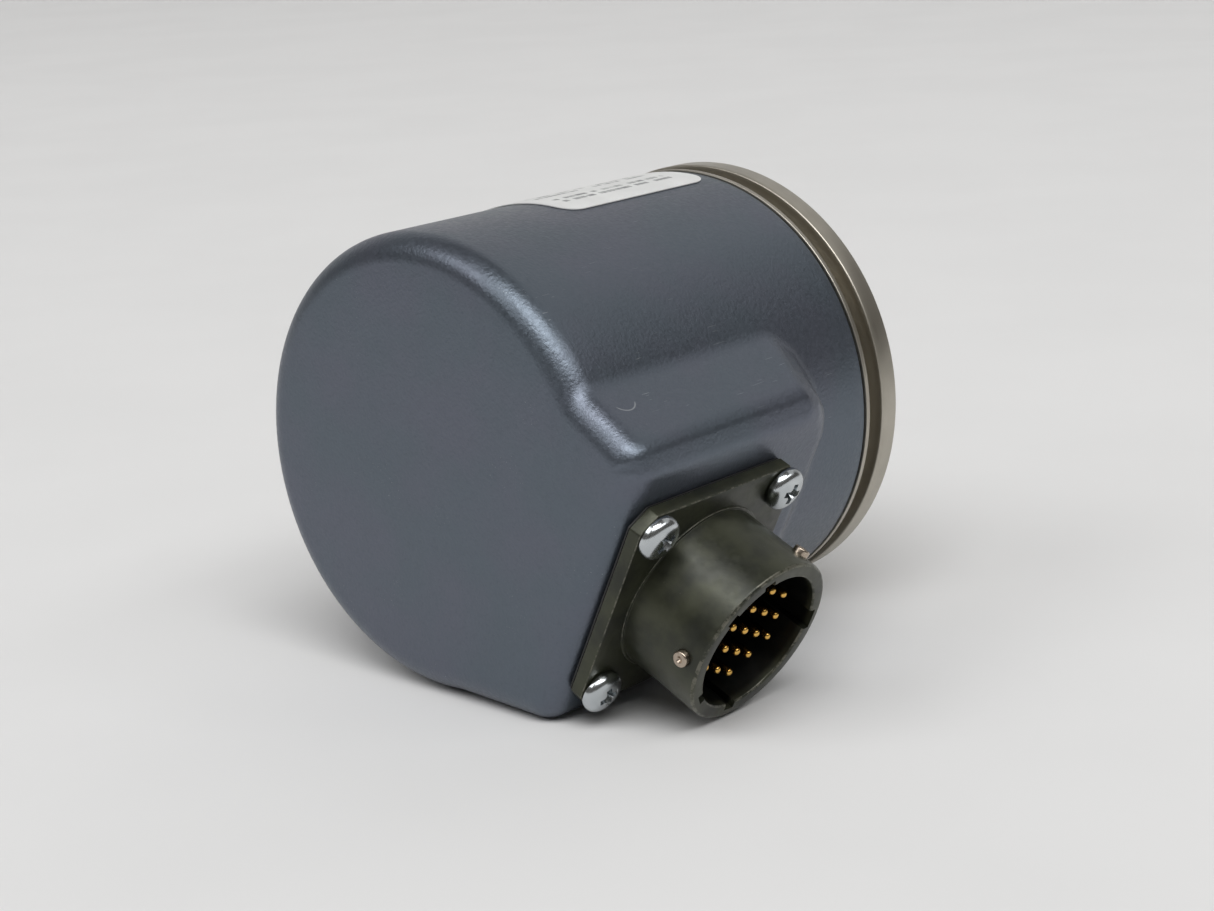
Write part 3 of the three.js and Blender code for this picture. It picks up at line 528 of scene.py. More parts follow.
def contact_gold(name, on_node):
    """Gold at a contact's rounded tip; further down, the gold is darkened to brown as painted shade for the
    deep cavity.
    """
    look = Look(name, on_node, Metallic=1.0)
    _, y, _ = look.axes()
    # painted shade: below the tip the gold colour turns dark brown, standing in for the cavity's shade
    tip = look.spread(y, (CONTACT_FRONT - 1.5) * MM, (CONTACT_FRONT - 0.5) * MM)
    gold = look.mix(look.spread(look.noise(1, 2), 0.35, 0.65), colour(230, 184, 98), colour(214, 168, 86))
    look.set("Base Color", look.mix(tip, colour(92, 66, 30), gold))
    look.set("Roughness", look.spread(look.noise(0.1, 3), 0.3, 0.7, 0.16, 0.26))
    look.bump(look.noise(0.1, 2), 0.001)
    return look.material


def disc_glass(name, on_node):
    """Glass with fine radial lines in two tracks."""
    fine_lines = 256.0
    coarse_lines = 16.0
    look = Look(name, on_node, IOR=1.5, Transmission_Weight=0.85)
    x, _, z = look.axes()
    radius = look.around_y(x, z)
    angle = look.maths("ARCTAN2", x, z)
    fine = look.maths("GREATER_THAN", look.maths("SINE", look.maths("MULTIPLY", angle, fine_lines)), 0.0)
    coarse = look.maths("GREATER_THAN", look.maths("SINE", look.maths("MULTIPLY", angle, coarse_lines)), 0.0)
    outer = look.maths("MULTIPLY", fine, between(look, radius, 14.2 * MM, 16.2 * MM, 0.01 * MM))
    inner = look.maths("MULTIPLY", coarse, between(look, radius, 12.4 * MM, 13.8 * MM, 0.01 * MM))
    lines = look.maths("ADD", outer, inner, clamp=True)
    look.set("Base Color", look.mix(lines, colour(214, 226, 224), colour(40, 42, 44)))
    look.set("Roughness", look.spread(look.noise(4, 2), 0.3, 0.7, 0.05, 0.12))
    return look.material


def board_laminate(name, on_node):
    """Green lacquer over a woven laminate, with raised copper tracks."""
    look = Look(name, on_node, IOR=1.5)
    black = (0.0, 0.0, 0.0, 1.0)
    tracks = {"Vector": look.place, "Scale": 1 / (2.4 * MM), "Mortar Size": 0.03, "Brick Width": 1.8,
              "Row Height": 0.5, "Color1": black, "Color2": black, "Mortar": (1.0, 1.0, 1.0, 1.0)}
    bricks = look.node("ShaderNodeTexBrick", tracks).outputs["Fac"]
    base = look.mix(look.spread(look.noise(3, 3), 0.35, 0.65), colour(28, 84, 48), colour(22, 70, 42))
    look.set("Base Color", look.mix(look.maths("MULTIPLY", bricks, 0.8), base, colour(54, 118, 66)))
    look.set("Roughness", look.spread(look.noise(1, 3), 0.3, 0.7, 0.3, 0.45))
    look.bump(bricks, 0.03)
    look.bump(look.noise(0.3, 2), 0.005)
    return look.material


SPECIAL = {
    "cap_coating": cap_coating,
    "connector_plating": connector_plating,
    "label_film": label_film,
    "contact_gold": contact_gold,
    "disc_glass": disc_glass,
    "board_laminate": board_laminate,
}
# two colours, roughness, width of the tool lines and their depth
METALS = {
    "flange_metal": (colour(182, 177, 166), colour(176, 171, 160), 0.36, 0.16, 0.003),
    "shaft_steel": (colour(196, 197, 198), colour(182, 184, 186), 0.22, 0.1, 0.002),
    "bearing_steel": (colour(200, 201, 203), colour(188, 190, 193), 0.16, 0.08, 0.001),
    "cage_steel": (colour(178, 172, 150), colour(160, 154, 134), 0.3, 0.2, 0.003),
    "spring_steel": (colour(92, 94, 97), colour(74, 78, 88), 0.32, 0.2, 0.003),
    "brass": (colour(196, 160, 92), colour(180, 146, 84), 0.28, 0.12, 0.003),
    "pin_nickel": (colour(186, 172, 156), colour(170, 156, 142), 0.26, 0.1, 0.004),
    "screw_zinc": (colour(205, 209, 211), colour(186, 191, 194), 0.16, 0.16, 0.004),
}
# two colours, roughness, size of the grain and its depth
MOULDINGS = {
    "seal_rubber": (colour(26, 26, 26), colour(34, 34, 34), 0.6, 0.2, 0.006),
    "black_plastic": (colour(24, 25, 27), colour(30, 31, 34), 0.45, 0.3, 0.006),
    # the insert is black plastic, painted darker than real black plastic as painted shade for the deep cavity
    "insert_plastic": (colour(6, 6, 7), colour(9, 9, 10), 0.7, 0.25, 0.006),
    "lens_plastic": (colour(222, 228, 232), colour(214, 222, 228), 0.12, 0.5, 0.001),
    "wire_sleeve": (colour(96, 99, 103), colour(84, 87, 92), 0.55, 0.3, 0.01),
}


@functools.cache
def finish(slot, on_node=False):
    """The material of a slot, made once for new pieces and once for kept CAD nodes."""
    name = slot + ("_on_node" if on_node else "_look")
    if slot in SPECIAL:
        return SPECIAL[slot](name, on_node)
    if slot in METALS:
        return machined(name, on_node, *METALS[slot], Metallic=1.0)
    return moulded(name, on_node, *MOULDINGS[slot])


# ---------- pieces: flange ----------


def flange_piece():
    edge = 0.22
    small = 0.12
    bearing_shoulder = FRONT_BEARING + BEARING_WIDTH / 2 + GAP
    seal_groove = 24.9
    seal_groove_front = -21.5
    seal_groove_rear = -23.3
    clip_groove = 10.1
    clip_groove_front = -43.0
    clip_groove_rear = -44.0
    seal_bore = 8.0
    seal_bottom = PILOT_FACE - 4.5
    shaft_bore = 5.5
    corners = [
        (BEARING_SEAT, HUB_REAR, small),
        (HUB_RADIUS, HUB_REAR, 0.3),
        (HUB_RADIUS, SPIGOT_REAR, 0.4),
        (SPIGOT_RADIUS, SPIGOT_REAR, 0.5),
        (SPIGOT_RADIUS, seal_groove_rear),
        (seal_groove, seal_groove_rear),
        (seal_groove, seal_groove_front),
        (SPIGOT_RADIUS, seal_groove_front),
        (SPIGOT_RADIUS, LIP_REAR),
        (LIP_RADIUS, LIP_REAR, small),
        (LIP_RADIUS, GROOVE_REAR, small),
        (GROOVE_RADIUS, GROOVE_REAR, 0.3),
        (GROOVE_RADIUS, RIM_REAR, 0.3),
        (RIM_RADIUS, RIM_REAR, edge),
        (RIM_RADIUS, RIM_FACE, edge),
        (PILOT_RADIUS, RIM_FACE, 0.2),
        (PILOT_RADIUS, PILOT_FACE, 0.5),
        (seal_bore, PILOT_FACE, 0.3),
        (seal_bore, seal_bottom, small),
        (shaft_bore, seal_bottom, small),
        (shaft_bore, bearing_shoulder, small),
        (BEARING_SEAT, bearing_shoulder, small),
        (BEARING_SEAT, clip_groove_front),
        (clip_groove, clip_groove_front),
        (clip_groove, clip_groove_rear),
        (BEARING_SEAT, clip_groove_rear),
    ]
    flange = add_mesh("flange_turned", *lathe(rounded(corners), 256, closed=True))
    core = 1.65
    groove = 0.28
    pitch = 0.7
    bottom = PILOT_FACE - FIXING_HOLE_DEPTH
    thread = [(core + (groove if step % 2 else 0.0), bottom + pitch / 2 * step) for step in range(1, 19)]
    mouth = core + 0.45
    profile = [(0, bottom), (core - 0.2, bottom), *thread, (mouth, PILOT_FACE), (mouth, PILOT_FACE + 1),
               (0, PILOT_FACE + 1)]
    for i in range(FIXING_COUNT):
        angle = math.pi / 2 + i * TURN / FIXING_COUNT
        across, up = FIXING_CIRCLE_RADIUS * math.cos(angle), FIXING_CIRCLE_RADIUS * math.sin(angle)
        combine(flange, [turned_tool(profile, 40, shifted(across, 0, up))])
    finish_piece(flange, ENCODER, "housing", "flange_metal", ["flange"])


def shaft_piece():
    front = PILOT_FACE - 4.9
    rear = FRONT_BEARING + BEARING_WIDTH / 2 + GAP / 2
    clip_front = REAR_BEARING - BEARING_WIDTH / 2 - GAP
    clip_rear = clip_front - 0.8
    end = DISC_FRONT - 2.2
    clip_groove = 2.65
    shoulder = 4.3
    corners = [(0, end), (SHAFT_RADIUS, end, 0.4), (SHAFT_RADIUS, clip_rear), (clip_groove, clip_rear),
               (clip_groove, clip_front), (SHAFT_RADIUS, clip_front), (SHAFT_RADIUS, rear),
               (shoulder, rear, 0.15), (shoulder, front, 0.15), (SHAFT_RADIUS, front), (SHAFT_RADIUS, 0, 0.4),
               (0, 0)]
    shaft = add_mesh("shaft_turned", *lathe(rounded(corners, closed=False), 96))
    flat_length = 8
    flat_height = SHAFT_RADIUS - 0.5
    clear = SHAFT_RADIUS + 1
    combine(shaft, [box_tool((-clear, -flat_length, flat_height), (clear, 1, clear))])
    finish_piece(shaft, ENCODER, "rotor", "shaft_steel", ["shaft"], 30)


def shaft_seal_piece():
    rear = PILOT_FACE - 4.3
    lip = SHAFT_RADIUS + 0.12
    corners = [(5.2, rear, 0.1), (7.9, rear, 0.1), (7.9, SEAL_FACE, 0.25), (5.9, SEAL_FACE, 0.2),
               (5.3, SEAL_FACE - 0.5, 0.2), (4.4, SEAL_FACE - 0.4, 0.2), (3.75, SEAL_FACE, 0.12),
               (lip, SEAL_FACE - 0.7, 0.05), (lip + 0.4, SEAL_FACE - 1.5, 0.1), (5.2, SEAL_FACE - 1.2, 0.1)]
    seal = add_mesh("shaft_seal_moulded", *lathe(rounded(corners, 3), 96, closed=True))
    finish_piece(seal, ENCODER, "housing", "seal_rubber", ["shaft_seal"])


# ---------- pieces: cap ----------

CORNER_HEIGHT = PAD_FACE - PAD_CORNER
PAD_NORMALS = np.array([
    (0, 1, 0),
    (math.cos(UPPER_DRAFT), math.sin(UPPER_DRAFT), 0),
    (-math.cos(LOWER_DRAFT), math.sin(LOWER_DRAFT), 0),
    (0, math.sin(END_DRAFT), math.cos(END_DRAFT)),
])
PAD_CORNERS = np.array([
    (0, CORNER_HEIGHT, 0),
    (UPPER_HALF_FLAT, CORNER_HEIGHT, 0),
    (-LOWER_HALF_FLAT, CORNER_HEIGHT, 0),
    (0, CORNER_HEIGHT, PAD_END),
])
PAD_OFFSETS = (PAD_NORMALS * PAD_CORNERS).sum(1)
# The two edges between a flank and the end are rounder by this much, made by planes that cut them.
EDGE_ROUNDING = 4.5
EDGE_CUTS = 3
# Planes that meet at an edge or a corner: 0 is the face, 1 and 2 the flanks, 3 the end, then come the cuts.
PLANE_SETS = [(0, 1), (0, 2), (0, 3)]
for flank in (1, 2):
    apart = math.acos(float(PAD_NORMALS[flank] @ PAD_NORMALS[3]))
    row = [flank]
    for cut in range(1, EDGE_CUTS + 1):
        share = cut / (EDGE_CUTS + 1)
        weights = np.array([math.sin((1 - share) * apart), math.sin(share * apart)]) / math.sin(apart)
        offsets = PAD_OFFSETS[[flank, 3]] - EDGE_ROUNDING
        row.append(len(PAD_NORMALS))
        PAD_NORMALS = np.vstack([PAD_NORMALS, weights @ PAD_NORMALS[[flank, 3]]])
        PAD_OFFSETS = np.append(PAD_OFFSETS, weights @ offsets + EDGE_ROUNDING)
        PLANE_SETS.append((0, row[-1]))
    row.append(3)
    for first, second in zip(row, row[1:]):
        PLANE_SETS += [(first, second), (0, first, second)]


def pad_distance(points):
    """How far points are from the pad, a wedge with its edges rounded, and in which direction."""
    heights = points @ PAD_NORMALS.T - PAD_OFFSETS
    nearest = heights.argmax(1)
    distance = heights.max(1)
    normal = PAD_NORMALS[nearest]
    for planes in PLANE_SETS:
        chosen = PAD_NORMALS[list(planes)]
        weights = heights[:, planes] @ np.linalg.inv(chosen @ chosen.T)
        reach = np.sqrt(np.maximum((weights * heights[:, planes]).sum(1), 0))
        better = (weights >= 0).all(1) & (reach > distance)
        distance = np.where(better, reach, distance)
        direction = weights @ chosen / np.maximum(reach, 1e-9)[:, None]
        normal = np.where(better[:, None], direction, normal)
    return distance - PAD_CORNER, normal


def barrel_distance(points):
    """How far points are from the cap's cylinder, and in which direction."""
    flat = points * (1, 1, 0)
    radius = np.linalg.norm(flat, axis=1)
    return radius - CAP_RADIUS, flat / radius[:, None]


def skin_distance(points):
    """How far points are from the cap's outside, and in which direction.

    The hollow between pad and cylinder is where a ball touches both of them.
    The ball's place is found in a few steps that use both distances and directions.
    """
    longest_way = 30
    pad, pad_normal = pad_distance(points)
    barrel, barrel_normal = barrel_distance(points)
    ball = points
    for _ in range(6):
        a, a_normal = pad_distance(ball)
        b, b_normal = barrel_distance(ball)
        moved = ball - points
        need_a = PAD_BLEND - a + (a_normal * moved).sum(1)
        need_b = PAD_BLEND - b + (b_normal * moved).sum(1)
        shared = (a_normal * b_normal).sum(1)
        spare = np.maximum(1 - shared**2, 1e-4)
        first = (need_a - shared * need_b) / spare
        second = (need_b - shared * need_a) / spare
        step = first[:, None] * a_normal + second[:, None] * b_normal
        size = np.linalg.norm(step, axis=1)
        ball = points + step * np.minimum(1, longest_way / np.maximum(size, 1e-9))[:, None]
    off = np.abs(pad_distance(ball)[0] - PAD_BLEND) + np.abs(barrel_distance(ball)[0] - PAD_BLEND)
    in_hollow = (first > 0) & (second > 0) & (off < 1e-3)
    to_ball = ball - points
    size = np.maximum(np.linalg.norm(to_ball, axis=1), 1e-9)
    outside = np.where(in_hollow, PAD_BLEND - size, np.minimum(pad, barrel))
    plain = np.where((pad < barrel)[:, None], pad_normal, barrel_normal)
    normal = np.where(in_hollow[:, None], to_ball / size[:, None], plain)
    return outside, normal


def on_skin(angles, along):
    """Points of the cap's outside, and its direction there, by angle from the connector's direction."""
    rays = np.stack([np.sin(angles), np.cos(angles), np.zeros_like(angles)], 1)
    base = np.outer(np.full(len(angles), along), (0, 0, 1))
    points = base + rays * CAP_RADIUS
    normals = rays.copy()
    near_pad = rays[:, 1] > math.sin(LOWER_DRAFT)
    base = base[near_pad]
    rays = rays[near_pad]
    low = np.full(len(rays), CAP_RADIUS - 0.2)
    high = np.full(len(rays), CAP_RADIUS + 6)
    halvings = 22
    for _ in range(halvings):
        middle = (low + high) / 2
        inside = skin_distance(base + rays * middle[:, None])[0] < 0
        low = np.where(inside, middle, low)
        high = np.where(inside, high, middle)
    points[near_pad] = base + rays * low[:, None]
    normals[near_pad] = skin_distance(points[near_pad] + rays * 1e-5)[1]
    return points, normals


def cap_piece():
    fine = np.radians(np.arange(-84, 84, 0.75))
    coarse = np.radians(np.arange(84, 276, 2.0))
    angles = np.concatenate([fine, coarse])
    rays = np.stack([np.sin(angles), np.cos(angles), np.zeros_like(angles)], 1)

    def ring(radius, along):
        return rays * radius + (0, 0, along)

    inner_rear = CAP_REAR + CAP_WALL
    inner = rounded([(0, inner_rear), (CAP_BORE, inner_rear, 1.5), (CAP_BORE, CAP_FRONT, 0.2),
                     (CAP_RADIUS, CAP_FRONT, 0.25), (CAP_RADIUS, CAP_FRONT - 2)], closed=False)
    rings = [[(0, 0, inner_rear)]]
    rings += [ring(radius, along) for radius, along in inner[1:]]
    pad_tip = PAD_END + 13.6
    pad_full = PAD_END - 5
    ring_step = 0.33
    for along in np.arange(pad_tip, pad_full, -ring_step):
        rings.append(on_skin(angles, along)[0])
    section, normals = on_skin(angles, pad_full)
    straight = np.linspace(pad_full, CAP_REAR + CAP_FILLET, 8)
    for along in straight:
        rings.append(section * (1, 1, 0) + (0, 0, along))
    fillet_steps = 12
    for step in range(1, fillet_steps + 1):
        turn = math.pi / 2 * step / fillet_steps
        inset = section - normals * CAP_FILLET * (1 - math.cos(turn))
        rings.append(inset * (1, 1, 0) + (0, 0, CAP_REAR + CAP_FILLET * (1 - math.sin(turn))))
    last = rings[-1]
    for share in (0.85, 0.6, 0.3):
        rings.append(last * (share, share, 1))
    rings.append([(0, 0, CAP_REAR)])
    cap = add_mesh("cap_cast", *loft(rings))
    inside_wall = 15
    past_face = PAD_FACE + 1

    def drill(radius, segments, x=0.0, z=0.0):
        profile = [(0, inside_wall), (radius, inside_wall), (radius, past_face), (0, past_face)]
        return turned_tool(profile, segments, shifted(x, 0, CONNECTOR_CENTRE + z))

    screw_hole = 1.6
    tools = [drill(REAR_BARREL_RADIUS + 0.5, 96)]
    tools += [drill(screw_hole, 32, x, z) for x, z in screw_places()]
    combine(cap, tools)
    finish_piece(cap, PAD, "housing", "cap_coating", ["cap"])


def screw_places():
    half = SCREW_SPACING / 2
    return [(x * half, z * half) for x in (-1, 1) for z in (-1, 1)]


# ---------- pieces: label ----------


def label_piece():
    """A film with rounded corners, bent round the cap."""
    inner = CAP_RADIUS + GAP / 2
    corner = 2.6
    width = LABEL_SPAN * inner
    corner_steps = 8
    near = [corner * (1 - math.cos(math.pi / 2 * step / corner_steps)) for step in range(corner_steps + 1)]
    columns = near + list(np.linspace(corner, width - corner, 60))[1:-1] + [width - s for s in reversed(near)]

    def end_of(column):
        into = corner - min(column, width - column)
        return 0 if into <= 0 else corner - math.sqrt(max(corner**2 - into**2, 0))

    points = []
    for radius in (inner, inner + LABEL_THICKNESS):
        for column in columns:
            angle = LABEL_FIRST_ANGLE + column / inner
            for along in (LABEL_START + end_of(column), LABEL_START + LABEL_LENGTH - end_of(column)):
                points.append((radius * math.sin(angle), radius * math.cos(angle), along))
    count = len(columns)
    faces = []
    for layer in (0, 2 * count):
        for i in range(count - 1):
            a = layer + 2 * i
            faces.append((a, a + 1, a + 3, a + 2))
    for i in range(count - 1):
        for side in (0, 1):
            a = 2 * i + side
            faces.append((a, a + 2, a + 2 + 2 * count, a + 2 * count))
    for a in (0, 2 * count - 2):
        faces.append((a, a + 1, a + 1 + 2 * count, a + 2 * count))
    label = add_mesh("label_film", points, faces)
    finish_piece(label, PAD, "housing", "label_film", ["label"], 30)


# ---------- pieces: connector ----------


def prism(outline, low, high, edge, steps=4):
    """Points and faces of an outline raised along Y, with both its rims rounded."""
    outline = np.array(outline)
    before = outline - np.roll(outline, 1, 0)
    after = np.roll(outline, -1, 0) - outline
    before /= np.linalg.norm(before, axis=1)[:, None]
    after /= np.linalg.norm(after, axis=1)[:, None]
    tangent = before + after
    tangent /= np.linalg.norm(tangent, axis=1)[:, None]
    outward = np.stack([tangent[:, 1], -tangent[:, 0]], 1)
    if (outline * outward).sum() < 0:
        outward = -outward
    widen = 1 / np.maximum((tangent * before).sum(1), 0.5)
    rings = []
    for height, sign in ((low, 1), (high, -1)):
        turns = np.linspace(0, math.pi / 2, steps + 1)
        turns = turns if sign > 0 else turns[::-1]
        for turn in turns:
            inset = outline - outward * (edge * (1 - math.sin(turn)) * widen)[:, None]
            level = height + sign * edge * (1 - math.cos(turn))
            rings.append([(x, level, z) for x, z in inset])
    points, faces = loft(rings)
    count = len(outline)
    faces.append(list(range(count)))
    faces.append(list(range(len(points) - count, len(points))))
    return points, faces


def turned_about_y(degrees, x=0.0, y=0.0, z=0.0):
    return shifted(x, y, z) @ Matrix.Rotation(-math.radians(degrees), 4, "Y")


def connector_shell_piece():
    half = PLATE_SIDE / 2
    short = half - PLATE_CHAMFER
    octagon = [(half, -short), (half, short), (short, half), (-short, half), (-half, short), (-half, -short),
               (-short, -half), (short, -half)]
    outline = rounded([(x, z, 0.5) for x, z in octagon], 5)
    shell = add_mesh("connector_shell_plated", *prism(outline, PLATE_REAR, PLATE_FRONT, 0.16))
    tools = []
    behind = PLATE_REAR - 1
    before = PLATE_FRONT + 1
    hole = 1.65
    countersunk = [(0, behind), (hole, behind), (hole, PLATE_FRONT - 0.2), (hole + 1.2, before), (0, before)]
    for x, z in screw_places():
        tools.append(turned_tool(countersunk, 32, shifted(x, 0, z)))
    centre_hole = BARREL_BORE + 0.4
    tools.append(turned_tool([(0, behind), (centre_hole, behind), (centre_hole, before), (0, before)], 96))
    combine(shell, tools)
    collar = BARREL_RADIUS + 0.35
    collar_front = PLATE_FRONT + 0.22
    collar_rear = PLATE_FRONT - 0.8
    corners = [
        (BARREL_BORE, REAR_BARREL_END, 0.15),
        (REAR_BARREL_RADIUS, REAR_BARREL_END, 0.3),
        (REAR_BARREL_RADIUS, collar_rear),
        (collar, collar_rear),
        (collar, collar_front, 0.1),
        (BARREL_RADIUS, collar_front, 0.05),
        (BARREL_RADIUS, BARREL_FRONT, 0.45),
        (BARREL_BORE, BARREL_FRONT, 0.3),
    ]
    barrel = add_mesh("barrel", *lathe(rounded(corners, 5), 192, closed=True))
    combine(shell, [barrel], "UNION")
    bottom = INSERT_FRONT - 0.5
    deep = BARREL_BORE + KEYWAY_DEPTH
    tools = []
    for degrees, width in KEYWAYS:
        low = (BARREL_BORE - 1, bottom, -width / 2)
        high = (deep, BARREL_FRONT + 1, width / 2)
        tools.append(box_tool(low, high, turned_about_y(degrees)))
    hole = BAYONET_RADIUS + 0.06
    in_wall = BARREL_BORE + 0.4
    outside = BARREL_RADIUS + 1
    profile = [(0, in_wall), (hole, in_wall), (hole, outside), (0, outside)]
    for degrees in BAYONET_ANGLES:
        sideways = turned_about_y(degrees, 0, BAYONET_HEIGHT, 0) @ Matrix.Rotation(-math.pi / 2, 4, "Z")
        tools.append(turned_tool(profile, 40, sideways))
    combine(shell, tools)
    finish_piece(shell, in_connector(), "housing", "connector_plating", ["connector_shell"])


def contact_places():
    places = []
    for row, count in enumerate(CONTACT_ROWS):
        offset = (row - (len(CONTACT_ROWS) - 1) / 2) * CONTACT_PITCH * math.sin(math.pi / 3)
        for i in range(count):
            along = (i - (count - 1) / 2) * CONTACT_PITCH
            x = offset * math.cos(CONTACT_ROW_TURN) - along * math.sin(CONTACT_ROW_TURN)
            z = offset * math.sin(CONTACT_ROW_TURN) + along * math.cos(CONTACT_ROW_TURN)
            places.append((x, z))
    return places


def insert_piece():
    corners = [(0, INSERT_REAR), (INSERT_RADIUS, INSERT_REAR, 0.2), (INSERT_RADIUS, INSERT_FRONT, 0.3),
               (0, INSERT_FRONT)]
    insert = add_mesh("connector_insert_moulded", *lathe(rounded(corners, closed=False), 96))
    hole = CONTACT_RADIUS + 0.04
    tools = []
    for x, z in contact_places():
        profile = [(0, INSERT_REAR - 1), (hole, INSERT_REAR - 1), (hole, INSERT_FRONT - 0.25),
                   (hole + 0.3, INSERT_FRONT + 0.01), (hole + 0.3, INSERT_FRONT + 1), (0, INSERT_FRONT + 1)]
        tools.append(turned_tool(profile, 24, shifted(x, 0, z)))
    combine(insert, tools)
    finish_piece(insert, in_connector(), "housing", "insert_plastic", ["connector_insert"])


def contact_pieces():
    cup = 0.85
    cup_bore = 0.6
    cup_bottom = CONTACT_REAR + 1.4
    cup_front = INSERT_REAR - 2 * GAP
    corners = [(0, cup_bottom), (cup_bore, cup_bottom), (cup_bore, CONTACT_REAR, 0.06),
               (cup, CONTACT_REAR, 0.06), (cup, cup_front, 0.1), (CONTACT_RADIUS, cup_front),
               (CONTACT_RADIUS, CONTACT_FRONT, 0.46), (0, CONTACT_FRONT)]
    profile = rounded(corners, 7, closed=False)
    for number, (x, z) in enumerate(contact_places(), 1):
        pin = add_mesh(f"contact_{number:02d}_turned", *lathe(profile, 28))
        finish_piece(pin, in_connector(x, 0, z), "housing", "contact_gold", [f"contact_pin_{number:02d}"])


def bayonet_pieces():
    inner = BARREL_BORE + 0.5
    corners = [(0, inner), (BAYONET_RADIUS, inner, 0.1), (BAYONET_RADIUS, BAYONET_REACH, 0.22),
               (0.42, BAYONET_REACH, 0.06), (0.12, BAYONET_REACH - 0.38, 0.05), (0, BAYONET_REACH - 0.4)]
    for number, degrees in enumerate(BAYONET_ANGLES, 1):
        pin = add_mesh(f"bayonet_{number}_turned", *lathe(rounded(corners, closed=False), 48))
        upright = in_connector(0, BAYONET_HEIGHT, 0, -math.radians(degrees))
        place = upright @ Matrix.Rotation(-math.pi / 2, 4, "Z")
        finish_piece(pin, place, "housing", "pin_nickel", [f"bayonet_pin_{number}"])


def cross_recess(top, depth):
    """Two crossed wedges that narrow downwards, which cut a driver recess."""
    tools = []
    for quarter in (0, 90):
        points = []
        for level, length, width in ((top + 0.6, 3.5, 0.95), (top - depth, 1.7, 0.6)):
            for x, z in ((-1, -1), (1, -1), (1, 1), (-1, 1)):
                points.append((x * length / 2, level, z * width / 2))
        faces = [(0, 1, 2, 3), (4, 5, 6, 7), (0, 1, 5, 4), (1, 2, 6, 5), (2, 3, 7, 6), (3, 0, 4, 7)]
        tool = add_mesh("tool", points, faces)
        tool.data.transform(turned_about_y(quarter))
        tools.append(tool)
    middle = [(0, top - depth - 0.25), (0.35, top - depth - 0.15), (0.95, top + 0.5), (0, top + 0.5)]
    tools.append(turned_tool(middle, 24))
    return tools


def connector_screw_pieces():
    seat = PLATE_FRONT + GAP
    top = seat + 1.9
    shank = 1.45
    end = seat - 7.5
    pitch = 0.5
    thread = []
    for step in range(12):
        low = end + 0.5 + pitch * step
        thread += [(shank - 0.25, low), (shank, low + pitch / 2)]
    crown = [(2.8, seat + 0.35), (2.79, seat + 0.75), (2.66, seat + 1.12), (2.38, seat + 1.45),
             (1.95, seat + 1.68), (1.35, seat + 1.82), (0.7, seat + 1.88), (0, top)]
    profile = [(0, end), (shank - 0.5, end), *thread, (shank, seat - 0.9), (shank, seat), (2.62, seat),
               (2.75, seat + 0.1), *crown]
    turns = [20, 65, 40, 80]
    for number, (x, z) in enumerate(screw_places(), 1):
        screw = add_mesh(f"connector_screw_{number}_turned", *lathe(profile, 64))
        combine(screw, cross_recess(top, 1.15))
        place = in_connector(x, 0, z, math.radians(turns[number - 1]))
        finish_piece(screw, place, "housing", "screw_zinc", [f"connector_screw_{number}"])


flange_piece()
shaft_piece()
shaft_seal_piece()
cap_piece()
label_piece()
connector_shell_piece()
insert_piece()
contact_pieces()
bayonet_pieces()
connector_screw_pieces()

# ---------- CAD nodes that are kept ----------

KEPT_SLOTS = {
    "bearing_outer_ring": "bearing_steel",
    "bearing_inner_ring": "bearing_steel",
    "bearing_ball_cage": "cage_steel",
    "bearing_spacer": "shaft_steel",
    "retaining_ring": "spring_steel",
    "wave_spring": "spring_steel",
    "code_disc_hub": "brass",
    "code_disc": "disc_glass",
    "disc_clamp_ring": "brass",
    "light_source_holder": "black_plastic",
    "light_source_lens": "lens_plastic",
    "sensor_reticle": "disc_glass",
    "sensor_chip": "black_plastic",
    "sensor_board": "board_laminate",
    "board_standoff": "brass",
    "board_screw": "screw_zinc",
    "cap_seal_ring": "seal_rubber",
    "connector_gasket": "seal_rubber",
    "wiring_loom": "wire_sleeve",
}
# A kept node's slot goes by its whole name, or else by the first of these that its name contains.
for name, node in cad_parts.items():
    if node.hide_render:
        continue
    fitting = [slot for part, slot in KEPT_SLOTS.items() if part in name]
    slot_name = KEPT_SLOTS.get(name) or fitting[0]
    node.data.materials.clear()
    node.data.materials.append(finish(slot_name, on_node=True))

# ---------- floor, light and camera ----------

FLOOR = cad_box[0][2]


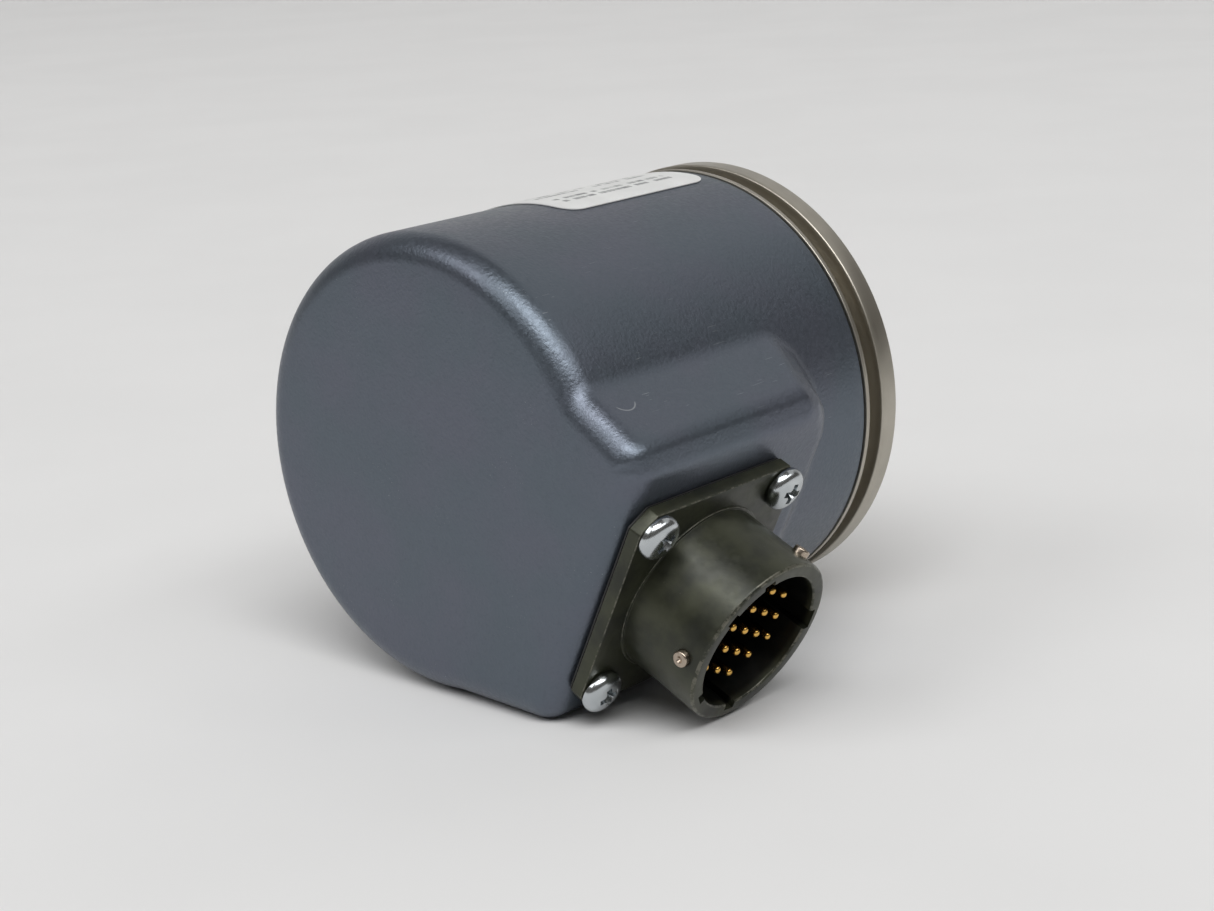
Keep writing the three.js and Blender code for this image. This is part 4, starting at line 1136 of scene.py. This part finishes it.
def floor_piece():
    """A floor that rises in a wide curve behind the object."""
    rows = []
    depth = 3.0
    rise = 1.2
    for y in np.linspace(-depth, depth * 0.5, 12):
        rows.append((y, 0.0))
    for step in range(1, 13):
        turn = math.pi / 2 * step / 12
        rows.append((depth * 0.5 + rise * math.sin(turn), rise * (1 - math.cos(turn))))
    rows.append((depth * 0.5 + rise, 3.5))
    points = []
    for y, z in rows:
        for x in (-4.0, 4.0):
            points.append((x / MM, y / MM, z / MM))
    faces = [(2 * i, 2 * i + 1, 2 * i + 3, 2 * i + 2) for i in range(len(rows) - 1)]
    floor = add_mesh("floor", points, faces)
    floor.data.shade_smooth()
    floor.matrix_world = Matrix.Translation((0, 0, FLOOR)) @ Matrix.Rotation(math.radians(42), 4, "Z")
    look = Look("floor", on_node=True, IOR=1.4)
    white = (0.80, 0.80, 0.80, 1)
    off_white = (0.785, 0.785, 0.785, 1)
    look.set("Base Color", look.mix(look.spread(look.noise(60, 3), 0.35, 0.65), white, off_white))
    look.set("Roughness", 0.8)
    floor.data.materials.append(look.material)


floor_piece()

SOFTBOX_DISTANCE = 4.0


def softbox(name, azimuth, elevation, across, high, radiance):
    """A softbox far away, given by its direction and its size as seen from the object, in degrees."""
    azimuth, elevation = math.radians(azimuth), math.radians(elevation)
    level = math.cos(elevation)
    towards = Vector((math.sin(azimuth) * level, math.cos(azimuth) * level, math.sin(elevation)))
    light = bpy.data.lights.new(name, "AREA")
    light.shape = "RECTANGLE"
    size = [2 * SOFTBOX_DISTANCE * math.tan(math.radians(angle / 2)) for angle in (across, high)]
    light.size, light.size_y = size
    light.energy = radiance * math.pi * size[0] * size[1]
    holder = bpy.data.objects.new(name, light)
    holder.location = towards * SOFTBOX_DISTANCE
    holder.rotation_mode = "QUATERNION"
    holder.rotation_quaternion = (-towards).to_track_quat("-Z", "Y")
    bpy.context.scene.collection.objects.link(holder)


softbox("low right softbox", 84, 45, 36, 14, 3.0)
softbox("high right softbox", 138, 58, 44, 30, 4.8)
softbox("left softbox", -155, 42, 32, 26, 2.5)
softbox("far softbox", 8, 52, 80, 30, 0.45)

world = bpy.data.worlds.new("studio")
world.use_nodes = True
world.node_tree.nodes["Background"].inputs["Color"].default_value = (1.0, 0.95, 0.88, 1.0)
world.node_tree.nodes["Background"].inputs["Strength"].default_value = 0.11
bpy.context.scene.world = world
bpy.context.scene.view_settings.view_transform = "Standard"

# The lens and the camera's place and angles that match the photo's view
lens = bpy.data.cameras.new("camera")
lens.sensor_width = 36
lens.lens = 70.11
lens.clip_start = 0.01
lens.clip_end = 20
camera = bpy.data.objects.new("camera", lens)
camera.location = (0.2017, -0.2569, 0.0774)
camera.rotation_euler = [math.radians(angle) for angle in (74.335, 2.673, 41.821)]
bpy.context.scene.collection.objects.link(camera)
bpy.context.scene.camera = camera
